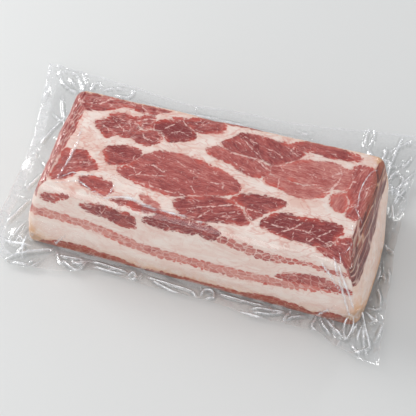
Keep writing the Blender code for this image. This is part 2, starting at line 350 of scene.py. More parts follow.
# Seams of fat that run into the muscles, each as its half width and its way in millimetres
TOP_SEAMS = (
    (0.60, ((5, 22), (12, 22), (21, 22), (29, 22), (36, 17), (43, 13))),
    (0.35, ((12, 40), (18, 35), (24, 30), (31, 25), (37, 20))),
    (0.40, ((15, 40), (22, 37), (33, 34), (44, 31), (50, 25))),
    (0.35, ((8, 35), (15, 32), (18, 28))),
    (0.35, ((46, 40), (55, 34), (59, 31))),
    (0.40, ((29, 22), (34, 18), (37, 16))),
    (0.25, ((10, 18), (19, 11), (31, 5))),
    (0.50, ((48, 19), (53, 15), (57, 15))),
    (0.45, ((43, 19), (50, 22), (56, 28))),
    (0.45, ((62, 9), (67, 8), (75, 11), (80, 12))),
    (0.35, ((67, 8), (68, 3))),
    (0.90, ((82, 6), (86, 8), (88, 13), (90, 17), (91, 22))),
    (0.50, ((49, 11), (50, 5), (50, 2))),
    (0.45, ((86, 32), (89, 31), (91, 26), (91, 22))),
    (0.50, ((97, 32), (100, 22), (104, 21), (108, 21))),
    (0.50, ((100, 22), (99, 15), (95, 12), (90, 10), (87, 6))),
    (0.35, ((99, 33), (105, 34), (110, 37))),
    (0.30, ((108, 21), (109, 28), (112, 35))),
    (0.30, ((104, 12), (111, 18), (118, 26))),
    (0.60, ((98, 8), (101, 4), (102, -2), (101, -8))),
    (0.30, ((101, -8), (107, -9), (112, -13))),
    (0.50, ((-6, -36), (3, -31), (12, -28), (19, -25), (25, -23), (33, -23))),
    (0.60, ((33, -23), (37, -28), (42, -33))),
    (0.45, ((23, -18), (27, -22), (33, -23), (44, -24))),
    (0.35, ((2, -43), (8, -35), (12, -28))),
    (0.30, ((14, -41), (20, -34), (30, -31))),
    (0.45, ((57, -41), (62, -36), (69, -31), (73, -26), (77, -20))),
    (0.45, ((69, -31), (77, -30), (81, -31), (89, -34), (96, -37))),
    (0.35, ((70, -31), (71, -37), (71, -40))),
    (0.35, ((80, -42), (81, -31), (82, -24), (82, -19))),
    (0.30, ((62, -23), (71, -23), (74, -20))),
    (0.40, ((78, -44), (85, -34), (94, -26), (98, -21))),
    (0.35, ((48, -30), (58, -32), (69, -31))),
    (0.45, ((91, -38), (97, -33), (100, -35), (106, -35))),
    (0.45, ((98, -28), (101, -32), (108, -33), (113, -29))),
    (0.40, ((108, -33), (111, -37), (113, -43))),
    (0.35, ((-50, -7), (-46, -6), (-40, -5), (-31, -9), (-31, -4))),
    (0.30, ((-48, -16), (-37, -14), (-26, -11), (-18, -13))),
    (0.40, ((-54, -23), (-42, -23), (-34, -24), (-24, -25), (-10, -24), (2, -22))),
    (0.35, ((-14, -12), (-8, -16), (-3, -22))),
    (0.55, ((3, -8), (8, -8), (13, -7), (13, -11), (17, -14))),
    (0.30, ((-26, 4), (-14, -2), (-2, -3))),
    (0.45, ((-63, -12), (-59, -10), (-53, -11), (-50, -15))),
    (0.40, ((-54, -19), (-48, -16), (-46, -12))),
    (0.45, ((-59, 5), (-56, 1), (-56, -6))),
    (0.60, ((-117, 38), (-107, 38), (-97, 40), (-93, 44), (-90, 50))),
    (0.45, ((-93, 44), (-86, 49), (-80, 50), (-77, 47), (-71, 45))),
    (0.50, ((-83, 29), (-77, 24), (-72, 21), (-71, 15))),
    (0.50, ((-80, 31), (-74, 29), (-69, 29), (-60, 29), (-55, 26))),
    (0.45, ((-90, 21), (-84, 19), (-80, 14))),
    (0.55, ((-69, 29), (-63, 33), (-58, 36), (-50, 37))),
    (0.50, ((-58, 22), (-54, 17), (-47, 16))),
    (0.38, ((-52, 33), (-51, 27), (-45, 24), (-40, 23))),
    (0.30, ((-40, 23), (-37, 28), (-32, 31), (-26, 30))),
    (0.32, ((-45, 24), (-44, 30), (-38, 36), (-34, 42))),
    (0.36, ((-34, 43), (-29, 38), (-24, 36), (-19, 32))),
    (0.32, ((-29, 38), (-22, 42), (-14, 42), (-4, 42))),
    (0.40, ((-24, 36), (-18, 36), (-13, 35))),
    (0.45, ((-106, -18), (-98, -20), (-91, -17), (-84, -16))),
    (0.45, ((-103, -28), (-97, -24), (-91, -26))),
)

# ---- The layers that show on the sawn walls ----------------------------------------------------
# The walls cut across three layers of lean in the fat: a chain of small bundles near the top, one
# long thick ribbon half way up, and a thin brownish layer along the foot.

# The ribbon and the foot layer, and the layers that stand for them on the other walls. Each has its
# darkness, how far fat splits it, and (place along the wall, height of its middle, half thickness).
WALL_LAYERS = {
    FRONT: (
        (0.06, 1.1, ((-128, 35, 5.0), (-112, 36, 5.5), (-95, 36.5, 5.3), (-78, 35.5, 5.2),
                     (-64, 32.5, 5.6), (-50, 29, 5.9), (-38, 26.5, 5.6), (-20, 25.5, 5.4),
                     (0, 25.5, 5.4), (25, 25.5, 5.4), (45, 26, 5.8), (60, 27.5, 5.6), (70, 28, 5.0),
                     (80, 29, 4.4), (90, 31, 3.6), (100, 32, 2.4), (110, 33, 1), (128, 34, -6))),
        (0.62, 0.9, ((-128, 34, -6), (56, 33, -6), (62, 33.5, 0), (70, 35.5, 4.5), (78, 37, 6.4),
                     (88, 38.5, 7), (98, 38.8, 6.8), (108, 38.2, 5.4), (116, 37.5, 4.2), (122, 36, 1.5),
                     (128, 35, -4))),
        (0.50, 0.7, ((-128, 0, -4), (-121, 0, 0), (-114, 0, 5), (-106, 0, 9), (-95, 0, 11),
                     (-79, 0, 12), (-70, 0, 10), (-57, 0, 9), (-46, 0, 6.5), (-37, 0, 3.5),
                     (-28, 0, 5), (-18, 0, 6), (0, 0, 6), (18, 0, 7), (30, 0, 7.5), (42, 0, 6.5),
                     (50, 0, 8.5), (62, 0, 11), (76, 0, 10), (88, 0, 8.5), (95, 0, 5), (101, 0, 9),
                     (110, 0, 11), (118, 0, 9), (128, 0, 2))),
    ),
    RIGHT: (
        (2.1, 1.3, ((-58, 50, 4), (-52, 52, 12), (-44, 53, 15), (-30, 53, 15), (-10, 54, 14.5),
                     (12, 55, 13), (22, 56, 12), (34, 57, 11), (44, 57, 10), (52, 57, 7), (58, 57, 2))),
        (0.45, 0.5, ((-58, 0, 3), (-30, 0, 4), (0, 0, 2), (30, 0, 4), (58, 0, 3))),
    ),
    BACK: (
        (0.40, 0.8, ((-128, 36, 6), (-90, 32, 6.5), (-50, 30, 5.5), (-10, 28, 6), (35, 30, 5.2),
                     (80, 34, 6.2), (128, 35, 5))),
        (0.62, 0.8, ((-128, 53, 5), (-100, 54, 6), (-70, 52, 4.5), (-30, 53, 6.5), (10, 55, 4),
                     (50, 53, 5.5), (90, 52, 6), (128, 52, 4))),
        (0.42, 0.5, ((-128, 0, 3), (-90, 0, 6), (-40, 0, 3), (0, 0, 5), (50, 0, 2), (90, 0, 6),
                     (128, 0, 4))),
    ),
    LEFT: (
        (0.45, 0.6, ((-58, 36, 5.5), (-30, 35, 5), (0, 36, 5.6), (30, 35, 5), (58, 35, 5))),
        (0.62, 1.6, ((-58, 60, 6), (-44, 61, 8), (-20, 62, 9), (5, 61, 10), (30, 62, 9.5),
                     (44, 60, 8), (58, 57, 5.5))),
        (0.42, 0.5, ((-58, 0, 4), (-20, 0, 5), (20, 0, 3), (58, 0, 4))),
    ),
}

# The bundles near the top of the front wall: darkness, how far fat splits each, and its edge
FRONT_BUNDLES = {
    "corner": (0.72, 0.5, (
        (-115, 54), (-111, 58), (-105, 59), (-99, 60), (-94, 62), (-91, 59), (-94, 56), (-98, 54),
        (-100, 51), (-106, 49), (-112, 50))),
    "left": (0.86, 0.2, (
        (-84, 55), (-79, 58), (-72, 59.5), (-63, 60), (-55, 59), (-47, 59), (-41, 57), (-40, 53),
        (-39, 48), (-41, 44.5), (-49, 43.5), (-58, 45), (-64, 47.5), (-71, 48.5), (-80, 51))),
    "wrapped": (0.88, 0.25, (
        (-36, 57), (-32, 60), (-28, 62), (-26, 65), (-18, 66), (-7, 66), (4, 65), (13, 66), (19, 64),
        (23, 61), (22, 57), (17, 53), (12, 53), (7, 56), (2, 53), (-7, 53), (-14, 51.5), (-21, 51),
        (-28, 52), (-34, 54))),
    "chain": (0.34, 1.6, (
        (21, 60), (30, 60), (38, 59), (47, 58.5), (56, 57), (64, 57), (74, 57.5), (84, 58), (94, 57),
        (105, 57), (113, 57), (119, 55), (119, 51.5), (113, 50), (103, 50), (92, 50.5), (81, 51),
        (72, 48.5), (62, 46.5), (53, 46), (44, 47.5), (35, 49), (27, 51), (21, 52))),
}


def curve(before, here, after, beyond, cuts):
    """A smooth curve that starts at here and runs through after, with cuts points to each piece."""
    points = []
    for t in np.arange(cuts) / cuts:
        points.append(0.5 * (2 * here + (after - before) * t
                             + (2 * before - 5 * here + 4 * after - beyond) * t ** 2
                             + (3 * here - before - 3 * after + beyond) * t ** 3))
    return np.stack(points, 1).reshape(-1, here.shape[1])


def smooth_loop(points, cuts=5):
    """A closed curve through given points."""
    p = np.array(points, float)
    return curve(np.roll(p, 1, 0), p, np.roll(p, -1, 0), np.roll(p, -2, 0), cuts)


def distance_to_line(points, line, closed=False):
    """How far points are from a run of straight pieces, and which lie inside it if it is closed."""
    ends = np.roll(line, -1, 0) if closed else line[1:]
    starts = line if closed else line[:-1]
    nearest = np.full(len(points), 1e9)
    inside = np.zeros(len(points), bool)
    for start, end in zip(starts, ends):
        along = end - start
        away = points - start
        share = np.clip(away @ along / max(along @ along, 1e-9), 0, 1)
        gap = away - share[:, None] * along
        nearest = np.minimum(nearest, (gap ** 2).sum(1))
        if closed:
            crosses = (start[1] > points[:, 1]) != (end[1] > points[:, 1])
            if crosses.any():
                where = start[0] + (points[:, 1] - start[1]) * along[0] / (along[1] or 1e-9)
                inside ^= crosses & (points[:, 0] < where)
    return np.sqrt(nearest), inside


def near_line(places, line, reach):
    """Which places lie in the box round a line, widened by a reach."""
    return np.all((places > line.min(0) - reach) & (places < line.max(0) + reach), 1)


def distance_to_ends(places, line):
    """How far places are from the nearer end of a line."""
    return np.minimum(np.linalg.norm(places - line[0], axis=1), np.linalg.norm(places - line[-1], axis=1))


# Outside lean its depth is followed down to this, and edges and seams matter within this distance
OUTSIDE = -6.0
NEAR = 7.0


def depth_in(places, edge):
    """How deep each place lies inside an edge, in millimetres, and less than 0 outside it."""
    loop = smooth_loop(edge)
    depth = np.full(len(places), OUTSIDE)
    close = near_line(places, loop, NEAR)
    if close.any():
        gap, inside = distance_to_line(places[close], loop, closed=True)
        depth[close] = np.clip(np.where(inside, gap, -gap), OUTSIDE, None)
    return depth


class Lean:
    """How deep in lean meat each point of the slab is, with the darkness and grain found there."""

    def __init__(self, count):
        self.depth = np.full(count, OUTSIDE)
        self.dark = np.full(count, 0.5)
        self.marbling = np.full(count, 0.5)
        self.bundled = np.zeros(count)
        self.seam = np.full(count, NEAR)
        self.grain = np.zeros((count, 3))
        self.cell = np.zeros((count, 3))

    def lay(self, chosen, depth, dark, marbling, bundled, grain, cell):
        """Adds one muscle or layer where it is deeper than what is there."""
        wins = np.zeros(len(self.depth), bool)
        wins[chosen] = depth > self.depth[chosen]
        at = wins[chosen]
        self.depth[wins] = depth[at]
        self.dark[wins] = np.broadcast_to(dark, len(depth))[at]
        self.marbling[wins] = marbling
        self.bundled[wins] = bundled
        self.grain[wins] = grain[at]
        self.cell[wins] = cell[at]


# How long and high the bundles on the top are in millimetres, and how high they are where fat splits
# the lean into thin layers
BUNDLE_LONG = 11.0
BUNDLE_HIGH = 4.2
LAYER_HIGH = 1.9

# How high up the unrolled walls the muscles of the top begin, and over what length a seam narrows
TOP_FROM = 50
SEAM_TAPER = 6


def lay_top(lean):
    """Lays the muscles and seams of the top, which run on over its edge. Each muscle's grain has its
    own third number, so that no two share a pattern."""
    on_top = np.flatnonzero((slab.rise > TOP_FROM) & (slab.side != UNDERSIDE))
    places = slab.top[on_top]
    for number, muscle in enumerate(TOP_MUSCLES.values()):
        dark, fade, marbling, split, angle, reach, edge = muscle
        front_end, back_end = min(y for _, y in edge), max(y for _, y in edge)
        back = np.clip((places[:, 1] - front_end) / (back_end - front_end), 0, 1)
        turn = math.radians(angle)
        along = places @ [math.cos(turn), math.sin(turn)]
        across = places @ [-math.sin(turn), math.cos(turn)]
        grain = np.column_stack([along, across, np.full(len(along), 40.0 * number)])
        high = LAYER_HIGH if split > 1 else BUNDLE_HIGH
        cell = np.column_stack([along / BUNDLE_LONG, across / high, np.full(len(along), 7.0 * number)])
        depth = depth_in(places, edge) + reach
        lean.lay(on_top, depth, dark - fade * back ** 2, marbling, split, grain, cell)
    for half_width, way in TOP_SEAMS:
        line = np.array(way, float)
        close = near_line(places, line, NEAR)
        gap, _ = distance_to_line(places[close], line)
        taper = np.clip(distance_to_ends(places[close], line) / SEAM_TAPER, 0, 1)
        width = half_width * (0.3 + 0.7 * taper)
        lean.seam[on_top[close]] = np.minimum(lean.seam[on_top[close]], gap - width)


# How wide and high the bundles are where each wall cuts them: front, right, back, left
BUNDLE_SIZES = ((5.2, 4.2), (34, 7.0), (4.6, 4.2), (16, 2.2))


def lay_walls(lean):
    """Lays the layers of each wall, then the bundles of the front one."""
    for side, (wide, high) in enumerate(BUNDLE_SIZES):
        chosen = np.flatnonzero(slab.side == side)
        run, rise = slab.run[chosen], slab.rise[chosen]
        seed = np.full(len(run), 90.0 * side + 500)
        grain = np.column_stack([run, rise, seed])
        cell = np.column_stack([run / wide, rise / high, seed])
        for dark, bundled, stations in WALL_LAYERS[side]:
            along, middle, half = np.array(stations, float).T
            depth = np.interp(run, along, half) - np.abs(rise - np.interp(run, along, middle))
            lean.lay(chosen, np.clip(depth, OUTSIDE, None), dark, 0.5, bundled, grain, cell)
        if side == FRONT:
            places = np.column_stack([run, rise])
            for dark, bundled, edge in FRONT_BUNDLES.values():
                lean.lay(chosen, depth_in(places, edge), dark, 0.6, bundled, grain, cell)


lean = Lean(slab.count)
lay_walls(lean)
lay_top(lean)


def soft_noise(places, size, seed):
    """Smooth random hills about 1 high and size across, from a few waves in random directions."""
    rng = np.random.default_rng(seed)
    hills = np.zeros(len(places))
    for _ in range(9):
        way = rng.normal(size=3)
        way *= rng.uniform(0.7, 1.5) / np.linalg.norm(way)
        hills += np.sin(places @ way * 2 * math.pi / size + rng.uniform(0, 2 * math.pi))
    return hills / 3


def broad_swells(places):
    """How far the meat's faces rise and fall, which the film over them follows."""
    return 0.00032 * soft_noise(places, 0.040, 1)


# How far the lean lies below the fat, and how high up the foot the relief fades away
LEAN_DROP = 0.00030
FLAT_FOOT = 0.004

relief = broad_swells(slab.where) + 0.00010 * soft_noise(slab.where, 0.009, 2)
relief -= LEAN_DROP * np.clip((lean.depth + 0.6) / 1.8, 0, 1)
relief[slab.side == UNDERSIDE] = 0
relief *= np.clip(slab.where[:, 2] / FLAT_FOOT, 0, 1)


def near(value, middle, reach):
    """1 where a value is at its middle, and less and less away from it."""
    return np.exp(-((value - middle) / reach) ** 2)


# Where the meat has dried to a warmer tone, in millimetres from the slab's middle and the table: at
# the front corners of the foot, along the back and right edges of the top, along the foot, over the
# right end, and most at the back of its upper half
rightward, backward = (slab.where[:, :2] - slab_middle).T * 1000
height = slab.where[:, 2] * 1000
warmth = 1.4 * near(np.abs(rightward), 123, 8) * near(-backward, 51, 8) * near(height, 3, 19)
warmth += 0.8 * near(height, 63, 2.5) * np.clip((backward - 46) / 4, 0, 1)
warmth += 0.8 * near(height, 60, 5) * np.clip((rightward - 112) / 4, 0, 1)
warmth += 1.1 * near(height, 0, 9)
warmth += 0.30 * (slab.side == RIGHT)
warmth += 0.9 * near(rightward, 116, 8) * near(backward, 47, 8) * (height > 40)

# The fat is pinker on the cut top than on the walls
blush = 0.55 + 0.45 * np.clip((slab.rise - 56) / 10, 0, 1)


def remember(mesh, name, values):
    """Keeps a number or a vector for each point of a mesh, which its material reads."""
    kind, field = ("FLOAT", "value") if values.ndim == 1 else ("FLOAT_VECTOR", "vector")
    kept = mesh.attributes.new(name, kind, "POINT").data
    kept.foreach_set(field, values.astype(np.float32).ravel())


def put(name, data):
    """A new object in the scene, from its mesh, light or camera."""
    made = bpy.data.objects.new(name, data)
    bpy.context.scene.collection.objects.link(made)
    return made


slab_mesh = bpy.data.meshes.new("pork_slab")
slab_mesh.from_pydata((slab.where + slab.facing * relief[:, None]).tolist(), [], slab.faces)
slab_mesh.shade_smooth()
for name, values in (("lean_depth", lean.depth), ("lean_dark", lean.dark),
                     ("lean_marbling", lean.marbling), ("lean_bundled", lean.bundled),
                     ("lean_seam", lean.seam), ("warmth", warmth), ("blush", blush),
                     ("grain", lean.grain), ("cell", lean.cell)):
    remember(slab_mesh, name, values)
pork_slab = put("pork_slab", slab_mesh)

# ---- The meat's surface ------------------------------------------------------------------------
# Lean is dusty red with a fine grain and white marbling, fat is cream with pink streaks, and both
# are moist. Where lean thins out at its edge, fat shows through between its bundles.


def add(tree, kind, inputs=None, **settings):
    """A shader node with its settings and inputs. An input is a number, a colour or an output."""
    made = tree.nodes.new(kind)
    for name, value in settings.items():
        setattr(made, name, value)
    for key, value in (inputs or {}).items():
        if isinstance(value, bpy.types.NodeSocket):
            tree.links.new(value, made.inputs[key])
        else:
            made.inputs[key].default_value = value
    return made


def sums(tree, operation, *terms, clamp=False):
    """A Math node on numbers and outputs."""
    return add(tree, "ShaderNodeMath", dict(enumerate(terms)), operation=operation,
               use_clamp=clamp).outputs[0]


def times(tree, value, factor, plus=0.0, clamp=False):
    """A value times a factor, plus another value."""
    return sums(tree, "MULTIPLY_ADD", value, factor, plus, clamp=clamp)


def centred(tree, value):
    """A pattern that runs from 0 to 1, moved to run from -0.5 to 0.5."""
    return sums(tree, "SUBTRACT", value, 0.5)


def between(tree, value, low, high):
    """0 at low, 1 at high, and a soft step from one to the other. Low may be the larger one."""
    return add(tree, "ShaderNodeMapRange", {0: value, 1: low, 2: high, 3: 0.0, 4: 1.0},
               interpolation_type="SMOOTHSTEP").outputs[0]


def paint(red, green, blue):
    """A colour from sRGB bytes."""
    linear = [(c / 255 / 12.92) if c <= 10 else ((c / 255 + 0.055) / 1.055) ** 2.4
              for c in (red, green, blue)]
    return (*linear, 1.0)


def tint(tree, share, under, over):
    """A mix of two colours, each an output or three sRGB bytes."""
    ends = {6: under, 7: over}
    for key, value in ends.items():
        if not isinstance(value, bpy.types.NodeSocket):
            ends[key] = paint(*value)
    return add(tree, "ShaderNodeMix", {0: share, **ends}, data_type="RGBA").outputs[2]


def stretched(tree, vector, scale):
    """A place or a grain scaled along each of its ways."""
    return add(tree, "ShaderNodeMapping", {"Vector": vector, "Scale": scale}, vector_type="POINT").outputs[0]


def noise(tree, vector, scale=1.0, detail=2.0, roughness=0.5, distortion=0.0):
    """Cloudy noise from 0 to 1."""
    return add(tree, "ShaderNodeTexNoise", {"Vector": vector, "Scale": scale, "Detail": detail,
                                            "Roughness": roughness, "Distortion": distortion}).outputs[0]


def reading(tree, name, output="Fac"):
    """What the mesh keeps for each point under this name."""
    return add(tree, "ShaderNodeAttribute", attribute_name=name).outputs[output]


def grained(tree, along, across, roughness, distortion=0.0):
    """Noise drawn out along the meat's grain, by how fast it changes along and across it."""
    grain = stretched(tree, reading(tree, "grain", "Vector"), (along, across, 1))
    return noise(tree, grain, 1.0, 2.0, roughness, distortion)


# Colours as sRGB bytes
LEAN_PALE = (214, 146, 134)
LEAN_MIDDLE = (179, 84, 77)
LEAN_DARK = (130, 32, 33)
LEAN_BROWN = (172, 98, 70)
LEAN_DRIED = (86, 38, 38)
LEAN_RIM = (210, 80, 62)
MARBLING = (238, 198, 188)
FAT = (244, 228, 218)
FAT_PINK = (228, 182, 166)
FAT_THREAD = (212, 112, 92)
FAT_DRY = (226, 170, 116)


def feathered_edge(tree, wander, frayed):
    """How deep in lean the surface is, in millimetres, once the edge wanders and feathers out along
    the grain. Where fat splits the lean into thin layers it feathers less."""
    layered = between(tree, reading(tree, "lean_bundled"), 0.4, 0.9)
    feathering = times(tree, layered, -0.6, 1.0)
    fringe = centred(tree, grained(tree, 0.20, 0.95, 0.6))
    feathers = times(tree, frayed, 1.8, times(tree, fringe, 2.3))
    edge = times(tree, wander, 3.4, reading(tree, "lean_depth"))
    return times(tree, feathers, feathering, edge)


def bundles(tree, edge):
    """Where the surface is lean, which seams of fat part into bundles, wider towards its edge, and a
    random tone for each bundle."""
    bundled = reading(tree, "lean_bundled")
    cell = reading(tree, "cell", "Vector")
    bend = add(tree, "ShaderNodeTexNoise", {"Vector": cell, "Scale": 1.1, "Detail": 2.0}).outputs["Color"]
    bent = add(tree, "ShaderNodeVectorMath", {0: cell, 1: bend}, operation="ADD").outputs[0]
    cells = {"Vector": bent, "Scale": 1.0, "Randomness": 0.9}
    own = add(tree, "ShaderNodeTexVoronoi", cells).outputs["Color"]
    seam = add(tree, "ShaderNodeTexVoronoi", cells, feature="DISTANCE_TO_EDGE").outputs["Distance"]
    opening = sums(tree, "MAXIMUM", sums(tree, "SUBTRACT", 1.8, edge), 0.0)
    half = times(tree, times(tree, opening, 0.60, 0.08), bundled)
    gap = sums(tree, "SUBTRACT", times(tree, seam, 4.6), half)
    strength = times(tree, opening, 0.55, times(tree, bundled, 0.50), clamp=True)
    fat_seam = times(tree, between(tree, gap, 0.34, -0.10), strength)
    inside = between(tree, edge, -0.35, 0.35)
    return times(tree, inside, sums(tree, "SUBTRACT", 1.0, fat_seam)), own


def red_lean(tree, place, edge, own, fibre, mottle):
    """Lean: fine fibres along its grain, mottled, and redder in patches at its rim."""
    tone = reading(tree, "lean_dark")
    for pattern, strength in ((fibre, 1.25), (grained(tree, 0.06, 0.40, 0.6, 0.4), 0.80), (own, 0.34)):
        tone = times(tree, centred(tree, pattern), strength, tone)
    rough = times(tree, reading(tree, "lean_marbling"), 1.1, 0.3)
    tone = times(tree, centred(tree, mottle), rough, tone, clamp=True)
    ramp = add(tree, "ShaderNodeValToRGB", {0: tone})
    stops = ramp.color_ramp.elements
    stops[0].color = paint(*LEAN_PALE)
    stops[1].color = paint(*LEAN_DARK)
    stops.new(0.5).color = paint(*LEAN_MIDDLE)
    patches = between(tree, noise(tree, place, 0.075), 0.42, 0.60)
    rim = times(tree, between(tree, edge, 5.0, 0.2), patches)
    return tint(tree, times(tree, rim, 0.60), ramp.outputs[0], LEAN_RIM)


def marbled(tree, place, wander, frayed):
    """How white lean is: long thin veins, short flecks along the grain, and the listed seams, made ragged."""
    marbling = reading(tree, "lean_marbling")
    web = sums(tree, "ABSOLUTE", centred(tree, grained(tree, 0.060, 0.13, 0.5, 1.1)))
    vein = between(tree, web, times(tree, marbling, 0.020, 0.006), 0.0)
    vein = times(tree, vein, between(tree, noise(tree, place, 0.11, 1.0), 0.42, 0.58))
    low = times(tree, marbling, -0.075, 0.68)
    fleck = between(tree, grained(tree, 0.24, 0.95, 0.7, 0.9), low, sums(tree, "ADD", low, 0.06))
    ragged = times(tree, frayed, 1.6, reading(tree, "lean_seam"))
    ragged = sums(tree, "SUBTRACT", ragged, 0.25)
    ragged = times(tree, sums(tree, "ABSOLUTE", wander), 4.0, ragged)
    patches = between(tree, noise(tree, place, 0.33, 2.0, 0.6), 0.30, 0.52)
    seam = times(tree, between(tree, ragged, 0.22, -0.22), patches)
    white = times(tree, vein, 0.80)
    for pattern, strength in ((fleck, 0.60), (seam, 0.85)):
        white = sums(tree, "MAXIMUM", white, times(tree, pattern, strength))
    return white


def dried_lean(tree, lean_colour):
    """Lean that is brownish where the meat has dried, with dark strands where it is darkest."""
    aged = times(tree, reading(tree, "warmth"), 0.60, clamp=True)
    brownish = tint(tree, aged, lean_colour, LEAN_BROWN)
    strands = between(tree, grained(tree, 0.05, 0.62, 0.55, 0.3), 0.40, 0.58)
    dried = times(tree, between(tree, reading(tree, "lean_dark"), 1.15, 1.9), strands)
    return tint(tree, times(tree, dried, 0.80), brownish, LEAN_DRIED)


def creamy_fat(tree, place, edge, mottle):
    """Fat: cream clouded with pink, crossed by red threads near the lean, and drier at its edges."""
    blush = reading(tree, "blush")
    cloud = noise(tree, stretched(tree, place, (0.045, 0.085, 0.085)), 1.0, 4.0, 0.68, 0.8)
    cloud = times(tree, between(tree, cloud, 0.39, 0.67), 0.75)
    beside = times(tree, between(tree, edge, -3.0, 0.3), 0.55)
    flush = times(tree, sums(tree, "MAXIMUM", cloud, beside), blush)
    colour = tint(tree, flush, FAT, FAT_PINK)
    thread = noise(tree, stretched(tree, place, (0.045, 0.11, 0.11)), 1.0, 3.0, 0.6, 0.9)
    thread = between(tree, sums(tree, "ABSOLUTE", centred(tree, thread)), 0.032, 0.004)
    close = between(tree, edge, -8.0, -1.0)
    thread = times(tree, thread, times(tree, close, 0.34, 0.12))
    colour = tint(tree, times(tree, thread, blush), colour, FAT_THREAD)
    dry = times(tree, reading(tree, "warmth"), between(tree, mottle, 0.30, 0.60), clamp=True)
    return tint(tree, times(tree, dry, 0.75), colour, FAT_DRY)


def raw_pork():
    """Raw belly, moist all over, with its fibres raised and its lean a little lower and glossier."""
    material = bpy.data.materials.new("raw_pork")
    material.use_nodes = True
    tree = material.node_tree
    meat = tree.nodes["Principled BSDF"]
    metres = add(tree, "ShaderNodeTexCoord").outputs["Object"]
    place = stretched(tree, metres, (1000, 1000, 1000))
    wander = centred(tree, noise(tree, place, 0.24))
    frayed = centred(tree, noise(tree, place, 0.85, 2.0, 0.6))
    mottle = noise(tree, place, 0.20, 3.0, 0.65)
    fibre = grained(tree, 0.17, 1.15, 0.65, 0.3)
    edge = feathered_edge(tree, wander, frayed)
    is_lean, own = bundles(tree, edge)
    lean_colour = red_lean(tree, place, edge, own, fibre, mottle)
    lean_colour = tint(tree, marbled(tree, place, wander, frayed), lean_colour, MARBLING)
    lean_colour = dried_lean(tree, lean_colour)
    colour = tint(tree, is_lean, creamy_fat(tree, place, edge, mottle), lean_colour)
    tree.links.new(colour, meat.inputs["Base Color"])
    tree.links.new(times(tree, is_lean, -0.10, 0.52), meat.inputs["Roughness"])
    meat.inputs["Specular IOR Level"].default_value = 0.30
    lift = times(tree, is_lean, -0.5, fibre)
    bump = add(tree, "ShaderNodeBump", {"Height": lift, "Strength": 0.5, "Distance": 0.0004})
    tree.links.new(bump.outputs[0], meat.inputs["Normal"])
    return material


slab_mesh.materials.append(raw_pork())
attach(pork_slab, "root")
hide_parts("sealed_pack")

# ---- The upper film ----------------------------------------------------------------------------
# One sheet of clear film. The vacuum holds it on the slab like a skin, in corner webs it falls to
# the table, and round the slab it lies as a crinkled margin, pressed and welded to the lower film.


# How finely the film is divided: along each side, round a corner, over the top edge, down the walls
# and out to the pouch's edge
FILM_CUTS = (216, 84, 216, 84)
FILM_CORNER_CUTS = 30
FILM_TOP_EDGE_CUTS = 12
FILM_WALL_CUTS = 19
MARGIN_CUTS = 38

# The pouch's edge in millimetres from the slab's middle: front, right, back and left
POUCH_EDGE = (
    ((-135, -77), (-129, -79), (-102, -75), (-82, -71), (-66, -65), (-44, -66), (-2, -67), (26, -67),
     (51, -70), (96, -69), (109, -75), (126, -80), (147, -84)),
    ((147, -84), (143, -31), (141, 0), (139, 14), (140, 53), (141, 94), (141, 127)),
    ((141, 127), (100, 120), (74, 115), (34, 112), (-1, 112), (-54, 109), (-92, 112), (-129, 114),
     (-175, 116)),
    ((-175, 116), (-166, 72), (-159, 40), (-155, 4), (-153, -42), (-147, -62), (-142, -72), (-135, -77)),
)

# How high the edge stands off the table, at even steps along each side
EDGE_LIFT = ((4, 3, 2.5, 3, 2.5, 4), (5, 3, 4, 5, 7, 9), (9, 10, 7, 6, 8, 10), (10, 7, 6, 8, 9, 4))

# For each side: how crumpled the margin is, how high up the slab's foot the film leaves it, how dark
# the shade painted on the film beside the foot is, and how far out that reaches, in millimetres
CRUMPLED = (0.7, 1.1, 0.22, 0.45)
WEB_HEIGHT = (3.0, 4.0, 3.0, 4.0)
FOOT_PAINTED_SHADE = (0.40, 0.55, 0.10, 0.25)
FOOT_PAINTED_SHADE_REACH = (2.6, 7.0, 3.5, 3.5)

# For the corners at the front left, front right, back right and back left: how high the web of film
# leaves the slab, and how many random folds run out from it
CORNER_WEB = (12.0, 16.0, 17.0, 10.0)
CORNER_FOLDS = (2, 7, 7, 0)

# How white the backs of the folds on each wall are painted, as painted highlight
WALL_FOLD_HIGHLIGHT = (0.75, 0.05, 0.20, 0.20)

# How milky the margin is all over, how white the backs of its folds are painted as highlight, how
# milky it is in the weld on the left and, on top of that, at the cut edge. The weld begins at this
# share of the way out.
MARGIN_MILK = 0.05
MARGIN_FOLD_HIGHLIGHT = 0.75
WELD_MILK = 0.25
CUT_EDGE_MILK = 0.35
WELD_FROM = 0.72
WELD_SOFTNESS = 0.04

# How high the film lands beside the slab, and how far it stays above the lower film, in millimetres
LANDING = 0.7
SHEET_GAP = 0.35

